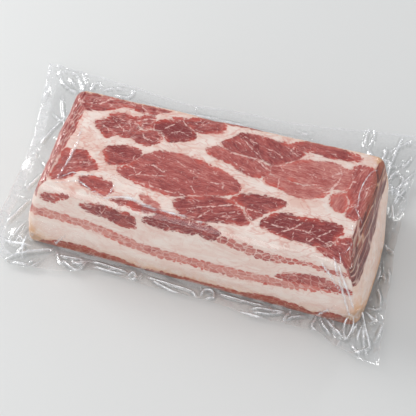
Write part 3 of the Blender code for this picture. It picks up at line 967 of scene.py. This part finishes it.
# Folds the film has been pressed into, each as its height, half width and way in millimetres. Those
# of the margin come first, by where they lie.
BACK_LEFT_FOLDS = (
    (2.6, 2.2, ((-168, 112), (-162, 118), (-154, 119), (-145, 114), (-138, 106), (-136, 98))),
    (2.4, 2.0, ((-160, 104), (-163, 108), (-157, 112), (-150, 111), (-143, 105), (-138, 98), (-147, 95),
                (-157, 100), (-160, 104))),
    (2.0, 1.9, ((-155, 108), (-149, 102), (-144, 98))),
    (2.4, 2.0, ((-133, 97), (-129, 108), (-122, 101))),
    (1.6, 1.8, ((-124, 102), (-112, 107), (-98, 108), (-100, 101), (-112, 101))),
)
LEFT_FOLDS = (
    (2.6, 2.6, ((-151, 33), (-148, 50), (-142, 72))),
    (2.2, 2.4, ((-153, 88), (-148, 76), (-142, 64))),
    (2.4, 2.6, ((-146, -48), (-142, -32), (-138, -18))),
    (2.4, 2.4, ((-138, -64), (-134, -52), (-129, -38))),
    (2.2, 2.6, ((-145, -12), (-141, 0), (-137, 14))),
    (1.8, 3.0, ((-167, 92), (-165, 84), (-166, 76))),
    (1.8, 3.0, ((-152, 30), (-151, 24), (-148, 18))),
    (1.8, 3.0, ((-147, -4), (-145, -9), (-141, -12))),
    (2.2, 2.6, ((-134, 80), (-134, 60), (-131, 42))),
    (2.0, 2.4, ((-133, 30), (-134, 10), (-130, -14))),
)
FRONT_LEFT_FOLDS = (
    (4.2, 2.6, ((-134, -75), (-130, -82), (-123, -85), (-112, -83), (-100, -79), (-93, -75))),
    (4.6, 2.6, ((-135, -76), (-129, -72), (-121, -67), (-113, -62), (-106, -58), (-103, -54))),
    (3.0, 2.2, ((-129, -77), (-121, -76), (-113, -77))),
    (3.0, 2.2, ((-124, -81), (-114, -78), (-109, -69))),
    (2.6, 2.0, ((-118, -76), (-113, -68))),
    (3.0, 2.2, ((-133, -63), (-130, -57), (-125, -61))),
)
FRONT_FOLDS = (
    (2.4, 2.2, ((-100, -60), (-87, -60), (-77, -58))),
    (3.2, 2.6, ((-97, -62), (-87, -68), (-80, -70), (-77, -65), (-76, -57))),
    (2.2, 2.0, ((-88, -61), (-81, -64), (-76, -59))),
    (2.0, 1.8, ((-80, -73), (-74, -72), (-69, -67), (-64, -67))),
    (1.8, 1.8, ((-74, -58), (-64, -58), (-44, -60))),
    (1.8, 1.8, ((-71, -62), (-59, -63), (-46, -62))),
    (3.0, 2.0, ((-44, -65), (-40, -59), (-37, -64), (-42, -65))),
    (2.2, 1.8, ((-30, -59), (-8, -61), (4, -62), (12, -67))),
    (1.8, 1.8, ((-27, -60), (-12, -65), (2, -68), (13, -70))),
    (3.4, 2.0, ((13, -66), (14, -59), (20, -58), (22, -63), (16, -66))),
    (2.0, 1.8, ((26, -58), (42, -59), (60, -59))),
    (1.6, 1.6, ((42, -69), (54, -69), (65, -70))),
    (2.4, 1.8, ((50, -64), (56, -62), (66, -61), (74, -60), (64, -65), (52, -66))),
    (2.6, 2.0, ((76, -70), (76, -64), (79, -56))),
    (2.4, 2.0, ((77, -67), (81, -62), (90, -58))),
)
FRONT_RIGHT_FOLDS = (
    (4.0, 2.2, ((98, -55), (96, -66), (103, -71), (110, -75))),
    (3.4, 2.2, ((99, -56), (104, -63), (111, -69))),
    (3.6, 2.4, ((102, -56), (110, -63), (120, -71))),
    (3.8, 2.2, ((121, -55), (118, -62), (121, -71), (124, -63), (122, -55))),
    (6.0, 3.0, ((124, -47), (129, -55), (136, -67), (140, -75))),
    (4.0, 2.6, ((129, -58), (138, -70), (136, -75), (127, -80))),
    (3.4, 2.2, ((131, -48), (137, -51), (143, -50))),
    (3.0, 2.0, ((134, -56), (138, -51), (137, -44))),
    (3.4, 3.0, ((144, -48), (143, -57), (141, -67))),
)
RIGHT_FOLDS = (
    (3.4, 1.9, ((127, 20), (132, 17), (137, 14), (141, 10))),
    (2.2, 1.8, ((129, 52), (131, 46), (134, 40))),
    (2.2, 1.8, ((134, 44), (137, 49), (140, 54))),
    (2.0, 1.8, ((138, -2), (140, -8), (141, -15))),
    (2.2, 1.8, ((134, -20), (137, -27), (139, -35))),
    (2.0, 2.0, ((130, 6), (133, -6), (132, -18))),
    (2.6, 2.2, ((122, 78), (126, 87), (133, 83), (130, 70), (124, 72))),
    (2.8, 2.4, ((127, 100), (132, 96), (136, 106))),
    (2.8, 2.4, ((129, 120), (133, 116), (138, 118))),
    (3.0, 2.4, ((117, 105), (125, 112), (134, 121))),
    (2.8, 2.2, ((112, 92), (118, 97), (122, 92), (128, 96))),
    (2.6, 2.2, ((110, 104), (115, 105), (114, 95), (119, 88))),
    (2.4, 2.0, ((128, 62), (133, 66), (138, 76))),
)
BACK_FOLDS = (
    (2.4, 2.6, ((-45, 108), (-40, 105), (-34, 106))),
    (1.4, 2.4, ((-90, 100), (-60, 98), (-20, 100), (20, 98), (60, 100))),
    (1.2, 2.2, ((-80, 86), (-40, 82), (10, 84), (50, 80))),
    (1.2, 2.2, ((-30, 92), (10, 94), (60, 91), (92, 94))),
    (1.6, 2.2, ((42, 106), (48, 104), (55, 106))),
    (4.0, 2.2, ((98, 101), (97, 111), (98, 120), (101, 121), (103, 115), (101, 104))),
)

# Folds on the slab's top
TOP_FOLDS = (
    (0.55, 2.8, ((-102, 12), (-100, 0), (-100, -14), (-101, -28), (-102, -38))),
    (0.35, 1.7, ((-102, -38), (-94, -29), (-88, -29), (-76, -26))),
    (0.4, 2.0, ((-101, -40), (-94, -38), (-87, -35), (-79, -38), (-70, -41), (-62, -42))),
    (0.35, 1.7, ((-62, -42), (-61, -34), (-60, -27))),
    (0.5, 5.2, ((-64, -43), (-57, -40.5), (-50, -38.5), (-43, -39), (-35, -41), (-26, -42.5))),
    (0.3, 1.6, ((-38, -40), (-27, -41.5), (-15, -42), (-4, -42.5), (8, -43.5))),
    (0.8, 1.7, ((115, 37), (111, 33), (109, 27), (107.5, 20), (107, 12), (107.5, 6), (108, 0))),
    (0.6, 1.4, ((106.5, -1), (108.5, -4), (111, -8), (113.5, -12))),
    (0.5, 1.2, ((107.5, -16), (108.5, -19), (110, -23))),
    (0.5, 1.2, ((104.5, -42), (106, -45), (107.5, -49))),
    (0.5, 1.2, ((111, -31), (109.5, -37), (107.5, -41))),
)

# Folds on the front wall, with their ways as (place along the wall, height)
FRONT_WALL_FOLDS = (
    (1.6, 2.2, ((103, 66), (107, 58), (112, 44), (117, 28), (121, 12), (123, 3))),
    (1.0, 1.6, ((108, 62), (114, 48), (119, 34), (123, 20))),
    (0.9, 1.4, ((96, 60), (104, 50), (112, 38))),
    (1.4, 1.8, ((98, 2), (102, 9), (108, 16))),
    (1.4, 1.8, ((-106, 2), (-102, 9), (-96, 17))),
)

# How wide the backs of the folds on the top are, where they are painted white as highlight, and over
# what share of their way they narrow
TOP_FOLD_BACK = 2.4
TOP_FOLD_SLIM = 0.85


def smooth_way(points, cuts):
    """An open curve through given points."""
    p = np.array(points, float)
    padded = np.concatenate([2 * p[:1] - p[1:2], p, 2 * p[-1:] - p[-2:-1]])
    return np.concatenate([curve(padded[:-3], padded[1:-2], padded[2:-1], padded[3:], cuts), p[-1:]])


def film_stations():
    """Side and share of each film line round the slab, set close together at the corners."""
    sides, shares = [], []
    for side, cuts in enumerate(FILM_CUTS):
        straight = (SLAB_LENGTH if side in (FRONT, BACK) else SLAB_WIDTH) / 2 - PLAN_CORNER
        bend = straight / (straight + PLAN_CORNER * math.pi / 4)
        corner = np.linspace(0, 1, FILM_CORNER_CUTS, endpoint=False) * (1 - bend)
        shares.append(np.concatenate([corner - 1, np.linspace(-bend, bend, cuts, endpoint=False),
                                      bend + corner]))
        sides.append(np.full(len(shares[-1]), side))
    return np.concatenate(sides), np.concatenate(shares)


# The film's lines, and where they leave the slab's foot, in millimetres
FOOT_HEIGHT = 0.0020
film_side, film_share = film_stations()
ROUND = len(film_side)
film_foot, film_outward, _ = slab_outline(film_side, film_share, FOOT_HEIGHT, -FILM_GAP)
film_foot = film_foot * 1000


def pouch_edge():
    """Where each film line ends at the pouch's edge, and how high that lies, in millimetres."""
    ends = np.zeros((ROUND, 3))
    for side, hand_set in enumerate(POUCH_EDGE):
        way = smooth_way(hand_set, 8)
        run = np.concatenate([[0], np.cumsum(np.linalg.norm(np.diff(way, axis=0), axis=1))])
        here = np.flatnonzero(film_side == side)
        first, last = here[FILM_CORNER_CUTS], here[-FILM_CORNER_CUTS]
        reach = [run[np.argmin(np.linalg.norm(way - film_foot[at], axis=1))] for at in (first, last)]
        marks = [0, FILM_CORNER_CUTS, len(here) - FILM_CORNER_CUTS, len(here)]
        at = np.interp(np.arange(len(here)), marks, [0, *reach, run[-1]])
        lift = np.interp(at / run[-1], np.linspace(0, 1, len(EDGE_LIFT[side])), EDGE_LIFT[side])
        ends[here] = np.column_stack([np.interp(at, run, way[:, 0]), np.interp(at, run, way[:, 1]), lift])
    return ends


film_edge = pouch_edge()
film_edge[:, :2] += np.stack([soft_noise(film_edge, 15, 21), soft_noise(film_edge, 19, 22)], 1) * 0.35


def flat_noise(places, size, seed):
    """soft_noise on places that are seen from above."""
    return soft_noise(np.column_stack([places, np.zeros(len(places))]), size, seed)


def facets(places, size, seed):
    """A crumpled sheet of flat three-sided facets about size across, from -1 to 1."""
    rng = np.random.default_rng(seed)
    grid = 64
    heights = rng.uniform(-1, 1, (grid, grid))
    bent = places + 0.30 * size * np.stack([flat_noise(places, size * 2.3, seed + k) for k in (1, 2)], 1)
    u = bent[:, 0] / size + bent[:, 1] / size / math.sqrt(3)
    v = bent[:, 1] * 2 / size / math.sqrt(3)
    column, row = np.floor(u).astype(int), np.floor(v).astype(int)
    u, v = u - column, v - row
    corner = [heights[(column + i) % grid, (row + j) % grid] for i, j in ((0, 0), (1, 0), (0, 1), (1, 1))]
    low = corner[0] + u * (corner[1] - corner[0]) + v * (corner[2] - corner[0])
    high = corner[3] + (1 - u) * (corner[2] - corner[3]) + (1 - v) * (corner[1] - corner[3])
    return np.where(u + v < 1, low, high)


def folds(places, ways, back=0.9, slim=0.0):
    """How high sharp-backed folds stand at each place, with where their backs and flanks are. Each
    fold has a height, a half width and a way, and a slim one narrows over that share of its way."""
    raised, backs, flanks = np.zeros((3, len(places)))
    for height, half_width, way in ways:
        line = smooth_way(way, 4)
        close = near_line(places, line, half_width)
        if not close.any():
            continue
        gap, _ = distance_to_line(places[close], line)
        length = np.linalg.norm(np.diff(line, axis=0), axis=1).sum()
        narrowing = distance_to_ends(places[close], line) / max(2.5 * half_width, slim * length)
        taper = np.clip(narrowing, 0.15, 1)
        wide = min(back, 0.45 * half_width) if slim else back
        ridge = np.clip(1 - gap / (half_width * (0.4 + 0.6 * taper)), 0, 1)
        crest = np.clip(1.4 * (1 - gap / (wide * (0.3 + 0.7 * taper))), 0, 1)
        flank = np.clip(1 - np.abs(gap - 1.6), 0, 1)
        for whole, part in ((raised, height * taper * ridge ** 1.2), (backs, taper ** 0.5 * crest),
                            (flanks, taper * flank)):
            whole[close] = np.maximum(whole[close], part)
    return raised, backs, flanks


def random_folds(seed, lines, spread, reach, height, width):
    """Folds that run out from the slab's foot along some of the film's lines, a little askew."""
    rng = np.random.default_rng(seed)
    ways = []
    for line in lines:
        start, end = film_foot[line], film_edge[line, :2]
        first, last = sorted(rng.uniform(0.0, reach, 2))
        swing = np.array([start[1] - end[1], end[0] - start[0]]) * math.tan(rng.normal() * spread)
        a = start + (end - start) * first - swing * 0.3
        b = start + (end - start) * last + swing * (last - first)
        middle = (a + b) / 2 + rng.normal(size=2) * 0.06 * np.linalg.norm(b - a)
        size = rng.uniform(0.45, 1.0)
        ways.append((height * size, width * rng.uniform(0.6, 1.2), (a, middle, b)))
    return ways


def end_pleats(seed, many, fall, high):
    """Long thin pleats along an end of the slab, dropping towards its front."""
    rng = np.random.default_rng(seed)
    pleats = []
    for _ in range(many):
        back, front = sorted(rng.uniform(-52, 52, 2))[::-1]
        rise = rng.uniform(30, 60)
        drop = fall * (back - front) / 100 * rng.uniform(0.8, 1.2)
        pleats.append((high * rng.uniform(0.4, 0.9), rng.uniform(1.1, 1.9),
                       ((back, rise), ((back + front) / 2, rise - drop * 0.42), (front, rise - drop))))
    return pleats


# Listed folds stand on the front wall, and fine pleats on both ends
WALL_FOLDS = {FRONT: FRONT_WALL_FOLDS, RIGHT: end_pleats(71, 26, 26, 1.0), LEFT: end_pleats(72, 16, 8, 0.6)}
# How white the backs of the wall folds are painted as highlight, for each film line
fold_highlight = np.array(WALL_FOLD_HIGHLIGHT)[film_side]


def top_folds(places):
    """How far the folds on the top stand up there, in millimetres, and where their backs are."""
    raised, backs, _ = folds(places, TOP_FOLDS, TOP_FOLD_BACK, TOP_FOLD_SLIM)
    return raised, backs


def wall_folds(run, rise):
    """How far the folds on the walls stand off one ring of the film, and how white their backs are
    painted there as highlight.
    """
    raised, backs = np.zeros((2, ROUND))
    for wall, ways in WALL_FOLDS.items():
        here = film_side == wall
        raised[here], backs[here], _ = folds(np.column_stack([run, rise])[here], ways)
    return raised, fold_highlight * backs


class Sheet:
    """The points of one film, as rings of one point for each film line."""

    def __init__(self):
        self.rings = []
        self.milk_and_painted_highlight = []
        self.painted_shade = []

    def add(self, points, milk_and_painted_highlight, painted_shade=0.0, facing=0.0):
        """Adds a ring, set on the slab. Where it faces outwards it follows the meat's swells."""
        lifted = points + (*slab_middle, SLAB_LIFT)
        self.rings.append(lifted + facing * broad_swells(lifted)[:, None])
        self.milk_and_painted_highlight.append(np.broadcast_to(milk_and_painted_highlight, len(points)).astype(float))
        self.painted_shade.append(np.broadcast_to(painted_shade, len(points)).astype(float))


# The margin's rings run from the slab's foot to the pouch's edge, in millimetres
margin_share = np.linspace(0, 1, MARGIN_CUTS + 1) ** 1.15
margin_places = film_foot + (film_edge[:, :2] - film_foot) * margin_share[:, None, None]
margin_out = margin_share[:, None] * np.linalg.norm(film_edge[:, :2] - film_foot, axis=1)


def corner_nearness():
    """1 at the middle of each slab corner, falling to 0 along its sides, for each film line."""
    tips = [film_foot[np.flatnonzero(film_side == side)[0]] for side in (FRONT, RIGHT, BACK, LEFT)]
    return np.stack([near(np.linalg.norm(film_foot - tip, axis=1), 0, 13) for tip in tips])


near_corner = corner_nearness()


def foot_webs():
    """How much higher than the margin the film is where it bridges from the slab's foot and corners
    to the table, in millimetres."""
    at_corner = near_corner.max(0)
    web = np.array(WEB_HEIGHT)[film_side] * (1 + 0.35 * flat_noise(film_foot, 17, 31))
    web = np.clip(web, 1.2, None) * (1 - at_corner) + np.array(CORNER_WEB) @ near_corner
    return web * np.clip(1 - margin_out / (4.0 + 20 * at_corner), 0, 1) ** 1.7


def margin_crumple():
    """Flat crumpled facets all over the margin, less of them at the left corners."""
    flat = margin_places.reshape(-1, 2)
    crumple = (1.1 * facets(flat, 19, 3) + 0.55 * facets(flat, 8.0, 4)).reshape(margin_out.shape)
    return crumple * np.array(CRUMPLED)[film_side] * (1 - 0.8 * np.maximum(near_corner[0], near_corner[3]))


def margin_folds():
    """The margin's listed folds, and random ones out from each side and corner of the slab."""
    rng = np.random.default_rng(8)
    ways = [*BACK_LEFT_FOLDS, *LEFT_FOLDS, *FRONT_LEFT_FOLDS, *FRONT_FOLDS, *FRONT_RIGHT_FOLDS,
            *RIGHT_FOLDS, *BACK_FOLDS]
    for seed, side, many, spread, reach, height, width in (
            (11, FRONT, 22, 0.45, 0.9, 2.0, 2.2), (12, RIGHT, 20, 0.40, 0.9, 2.0, 2.2),
            (13, BACK, 12, 0.50, 0.6, 1.6, 2.6), (14, LEFT, 9, 0.60, 0.7, 2.0, 2.4)):
        lines = rng.choice(np.flatnonzero(film_side == side), many)
        ways += random_folds(seed, lines, spread, reach, height, width)
    for corner, many in enumerate(CORNER_FOLDS):
        lines = rng.choice(np.flatnonzero(near_corner[corner] > 0.35), many)
        ways += random_folds(40 + corner, lines, 0.30, 1.0, 3.0, 2.4)
    return ways


def margin_heights():
    """How high the upper film's margin lies, in millimetres, where its folds' backs are, and how
    much painted shade darkens what is seen through it, beside the slab's foot and on its folds' flanks."""
    share = margin_share[:, None]
    base = LANDING + (film_edge[:, 2] - LANDING) * share ** 1.6
    loose = np.clip(margin_out / 2.2, 0, 1) * (0.35 + 0.65 * np.clip(1.6 - np.abs(share - 0.5) * 2, 0, 1))
    found = folds(margin_places.reshape(-1, 2), margin_folds())
    raised, backs, flanks = [values.reshape(margin_out.shape) for values in found]
    lift = base + loose * (margin_crumple() * 0.9 * np.clip(margin_out / 5, 0, 1) + raised)
    # Painted shade: the film darkens what is seen through it at the slab's foot and on its folds' flanks
    painted_shade = np.array(FOOT_PAINTED_SHADE)[film_side] * near(margin_out, 0, np.array(FOOT_PAINTED_SHADE_REACH)[film_side])
    painted_shade = painted_shade + 0.45 * flanks * loose
    return np.maximum(lift, SHEET_GAP) + foot_webs(), backs * loose, np.clip(painted_shade, 0, 1)


margin_height, margin_backs, margin_painted_shade = margin_heights()

# How round the film's top edge is, and how high up the walls it starts
film_round = edge_radius(film_outward)
film_shoulder = slab_height - film_round


def over_edge(sheet):
    """The film's rings over the round top edge, from the top to the walls."""
    for turn in np.linspace(math.pi / 2, 0, FILM_TOP_EDGE_CUTS + 1):
        height = film_shoulder + film_round * math.sin(turn)
        points, outward, run = slab_outline(film_side, film_share, height,
                                            film_round * (1 - math.cos(turn)))
        facing = np.column_stack([outward * math.cos(turn), np.full(ROUND, math.sin(turn))])
        on_top, top_backs = top_folds(points * 1000)
        on_wall, wall_highlight = wall_folds(run * 1000, (film_shoulder + film_round * turn) * 1000)
        stand = FILM_GAP + (on_top * math.sin(turn) + on_wall * math.cos(turn)) / 1000
        # The backs of the folds are painted white as highlight
        sheet.add(np.column_stack([points, height]) + facing * stand[:, None],
                  np.maximum(top_backs, wall_highlight), facing=facing)


def down_walls(sheet):
    """The film's rings down the walls, to where the margin and the corner webs leave them."""
    landing = margin_height[0] / 1000
    for share in np.linspace(0, 1, FILM_WALL_CUTS + 1)[1:]:
        height = film_shoulder + (landing - film_shoulder) * share
        points, outward, run = slab_outline(film_side, film_share, height, -FILM_GAP)
        facing = np.column_stack([outward, np.zeros(ROUND)]) * math.sqrt(1 - share ** 4)
        # The backs of the wall folds are painted white as highlight
        stand, milk_and_painted_highlight = wall_folds(run * 1000, height * 1000)
        sheet.add(np.column_stack([points, height]) + facing * stand[:, None] / 1000, milk_and_painted_highlight, facing=facing)


def out_to_edge(sheet):
    """The film's rings over the table: white on the backs of folds as painted highlight, milky in the
    weld on the left and at the cut edge, and with painted shade at the slab's foot and on fold flanks.
    """
    for number in range(1, MARGIN_CUTS + 1):
        weld = np.clip((margin_share[number] - WELD_FROM) / WELD_SOFTNESS, 0, 1) * (film_side == LEFT)
        milk_and_painted_highlight = np.maximum(MARGIN_MILK + WELD_MILK * weld, MARGIN_FOLD_HIGHLIGHT * margin_backs[number])
        if number == MARGIN_CUTS:
            milk_and_painted_highlight = milk_and_painted_highlight + CUT_EDGE_MILK
        points = np.column_stack([margin_places[number], margin_height[number]]) / 1000
        sheet.add(points, milk_and_painted_highlight, margin_painted_shade[number])


def cover_top(rim, first):
    """A grid of film over the top, inside its first ring: points, how white the backs of its folds are
    painted as highlight, and faces, whose new points are numbered from first."""
    long_cuts, short_cuts = [FILM_CUTS[side] + 2 * FILM_CORNER_CUTS for side in (FRONT, RIGHT)]
    points = patch(rim, long_cuts, short_cuts)[1:-1, 1:-1].reshape(-1, 3)
    raised, backs = top_folds((points[:, :2] - slab_middle) * 1000)
    points[:, 2] = pack_top
    points[:, 2] += broad_swells(points) + raised / 1000
    ring = np.arange(ROUND)
    index = np.zeros((short_cuts + 1, long_cuts + 1), int)
    index[1:-1, 1:-1] = first + np.arange(len(points)).reshape(short_cuts - 1, long_cuts - 1)
    index[0, :-1] = ring[:long_cuts]
    index[:-1, -1] = long_cuts + ring[:short_cuts]
    index[-1, 1:] = (long_cuts + short_cuts + ring[:long_cuts])[::-1]
    index[1:, 0] = (2 * long_cuts + short_cuts + ring[:short_cuts])[::-1]
    faces = np.stack([index[:-1, :-1], index[:-1, 1:], index[1:, 1:], index[1:, :-1]], -1)
    return points, backs, faces.reshape(-1, 4).tolist()


def film_mesh(name, sheet, over_top):
    """A film from its rings, with a grid over the slab's top or one flat face under the slab."""
    points = np.concatenate(sheet.rings)
    milk_and_painted_highlight, painted_shade = np.concatenate(sheet.milk_and_painted_highlight), np.concatenate(sheet.painted_shade)
    ring = np.arange(ROUND)
    after = (ring + 1) % ROUND
    faces = []
    for upper in range(0, len(points) - ROUND, ROUND):
        lower = upper + ROUND
        faces += np.column_stack([lower + ring, lower + after, upper + after, upper + ring]).tolist()
    if over_top:
        top_points, top_highlight, top_faces = cover_top(sheet.rings[0], len(points))
        points = np.concatenate([points, top_points])
        milk_and_painted_highlight = np.concatenate([milk_and_painted_highlight, top_highlight])
        painted_shade = np.concatenate([painted_shade, np.zeros(len(top_highlight))])
        faces += top_faces
    else:
        faces.append((len(points) - 1 - ring).tolist())
    mesh = bpy.data.meshes.new(name)
    mesh.from_pydata(points.tolist(), [], faces)
    mesh.shade_smooth()
    # It keeps its milk with its painted highlights, and its painted shade, for its material to read
    remember(mesh, "milk_and_painted_highlight", milk_and_painted_highlight)
    remember(mesh, "painted_shade", painted_shade)
    return put(name, mesh)


# Colours as sRGB bytes: what clear film lets through, what it lets through where shade is painted on
# it, and what milky film looks like, which also paints the highlights on the backs of folds
CLEAR = (253, 253, 253)
PAINTED_SHADE_TINT = (206, 207, 206)
MILKY_AND_HIGHLIGHT = (244, 246, 248)


def clear_film():
    """Clear film: mirror-like where it faces away, milky where it is welded, white on the backs of folds as
    painted highlight, and darker where shade is painted on it. The milk and painted highlight are broken
    into patches, and the film's skin is finely crinkled there."""
    material = bpy.data.materials.new("clear_film")
    material.use_nodes = True
    tree = material.node_tree
    tree.nodes.remove(tree.nodes["Principled BSDF"])
    place = add(tree, "ShaderNodeNewGeometry").outputs["Position"]
    milk_and_painted_highlight = reading(tree, "milk_and_painted_highlight")
    patches = between(tree, noise(tree, place, 170.0, 3.0, 0.6), 0.36, 0.62)
    broken = times(tree, milk_and_painted_highlight, times(tree, patches, 0.85, 0.45), clamp=True)
    # Painted shade: what the film lets through is darkened where the mesh marks it
    through = tint(tree, reading(tree, "painted_shade"), CLEAR, PAINTED_SHADE_TINT)
    clear = add(tree, "ShaderNodeBsdfTransparent", {0: through}).outputs[0]
    milky_and_highlight = add(tree, "ShaderNodeBsdfDiffuse", {0: paint(*MILKY_AND_HIGHLIGHT)}).outputs[0]
    cloudy_with_painted_light = add(tree, "ShaderNodeMixShader", {0: broken, 1: clear, 2: milky_and_highlight}).outputs[0]

    crinkle = times(tree, noise(tree, place, 420.0), milk_and_painted_highlight)
    skin = add(tree, "ShaderNodeBump", {"Strength": 1.0, "Distance": 0.0006, "Height": crinkle}).outputs[0]
    shine = add(tree, "ShaderNodeBsdfGlossy", {"Color": (1, 1, 1, 1), "Roughness": 0.06, "Normal": skin})
    away = add(tree, "ShaderNodeLayerWeight", {"Blend": 0.5}).outputs["Facing"]
    mirror = times(tree, sums(tree, "POWER", away, 5.0), 0.12, 0.052)
    mirror = times(tree, milk_and_painted_highlight, 0.26, mirror)
    surface = add(tree, "ShaderNodeMixShader", {0: mirror, 1: cloudy_with_painted_light, 2: shine.outputs[0]}).outputs[0]
    tree.links.new(surface, tree.nodes["Material Output"].inputs["Surface"])
    return material


upper_sheet = Sheet()
over_edge(upper_sheet)
down_walls(upper_sheet)
out_to_edge(upper_sheet)
film_material = clear_film()
upper_film = film_mesh("upper_film", upper_sheet, over_top=True)
upper_film.data.materials.append(film_material)
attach(upper_film, "root")
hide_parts("sealed_pack")

# ---- The lower film ----------------------------------------------------------------------------
# The pouch's other sheet, under the slab. It lies flat on the table and its margin follows the
# upper film, to which it is pressed, so the two read as one crinkled border.

# How far inside the foot its flat part ends, and how far that lies below the slab, in millimetres
UNDER_INSET = 2.0
UNDER_DROP = 0.1

# Beside the slab it stays on the table over this distance, and then rises no steeper than this
FLAT_MARGIN = 1.0
STEEPEST = 0.45


def make_lower_film():
    """The lower film's rings, from the pouch's edge to just inside the slab's foot."""
    sheet = Sheet()
    out = np.linalg.norm(margin_places - margin_places[0], axis=2)
    level = np.clip(margin_height - SHEET_GAP, 0, None)
    level = np.minimum(level, 0.02 + np.clip(out - FLAT_MARGIN, 0, None) * STEEPEST)
    for number in range(MARGIN_CUTS, -1, -1):
        points = np.column_stack([margin_places[number], level[number]]) / 1000
        # Its fold backs are painted white as highlight, and it takes the same painted shade as the upper film
        sheet.add(points, 0.04 + 0.2 * margin_backs[number], margin_painted_shade[number])
    under = film_foot - UNDER_INSET * film_outward
    sheet.add(np.column_stack([under, np.full(ROUND, -UNDER_DROP)]) / 1000, 0.0)
    return sheet


lower_film = film_mesh("lower_film", make_lower_film(), over_top=False)
lower_film.data.materials.append(film_material)
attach(lower_film, "root")
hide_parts("sealed_pack")

# ---- The table, light and camera ---------------------------------------------------------------
# A plain pale table under soft daylight that comes from behind and to the left, seen by a camera
# that looks down on the pack from its front right.

HALF_TABLE = 1.5
TABLE_DROP = 0.0002
table_mesh = bpy.data.meshes.new("table")
table_mesh.from_pydata([(x * HALF_TABLE, y * HALF_TABLE, 0) for x, y in ((-1, -1), (1, -1), (1, 1), (-1, 1))],
                       [], [(0, 1, 2, 3)])
table = put("table", table_mesh)
table.location.z = -TABLE_DROP
table_white = bpy.data.materials.new("table_white")
table_white.use_nodes = True
table_top = table_white.node_tree.nodes["Principled BSDF"]
table_top.inputs["Base Color"].default_value = paint(219, 220, 218)
table_top.inputs["Roughness"].default_value = 0.6
table_mesh.materials.append(table_white)

room = bpy.data.worlds.new("room")
room.use_nodes = True
daylight = room.node_tree.nodes["Background"]
daylight.inputs["Color"].default_value = paint(250, 251, 255)
daylight.inputs["Strength"].default_value = 0.595
bpy.context.scene.world = room


def turned_along(way):
    """The turn that points a light or a camera along a way."""
    return math.atan2(math.hypot(way[0], way[1]), -way[2]), 0, math.atan2(way[1], way[0]) - math.pi / 2


def soft_light(name, place, size, power, aim=(0, 0, 0)):
    """A rectangular light, in metres and watts, that shines at the pack."""
    light = bpy.data.lights.new(name, "AREA")
    light.shape = "RECTANGLE"
    light.size, light.size_y = size
    light.energy = power
    lamp = put(name, light)
    lamp.location = place
    lamp.rotation_euler = turned_along(np.array(aim) - np.array(place))


soft_light("window", (-1.20, 0.35, 0.80), (0.70, 0.70), 10.6)
soft_light("front_fill", (-0.60, -1.20, 0.80), (1.10, 1.10), 6.0)
soft_light("left_strip", (-0.95, 0.30, 1.00), (0.04, 0.22), 0.40)
soft_light("back_strip", (-0.85, 0.78, 1.05), (0.04, 0.35), 0.65)
soft_light("back_right_strip", (0.18, 1.20, 0.95), (0.05, 0.60), 1.2)
soft_light("side_strip", (1.20, 0.40, 0.95), (0.06, 0.60), 0.7)
soft_light("side_fill", (1.30, -0.30, 0.15), (0.80, 0.18), 2.5, aim=(0, 0, 0.03))

# The camera's place and what it looks at, in metres from the slab's middle
CAMERA_PLACE = np.array([0.1418, -0.4721, 0.6759])
CAMERA_AIM = np.array([-0.0055, 0.0155, 0.0])
LENS = 95.2
camera_data = bpy.data.cameras.new("camera")
camera_data.lens = LENS
camera = put("camera", camera_data)
camera.location = CAMERA_PLACE + [*slab_middle, 0]
camera.rotation_euler = turned_along(CAMERA_AIM - CAMERA_PLACE)
bpy.context.scene.camera = camera
bpy.context.scene.view_settings.view_transform = "Standard"
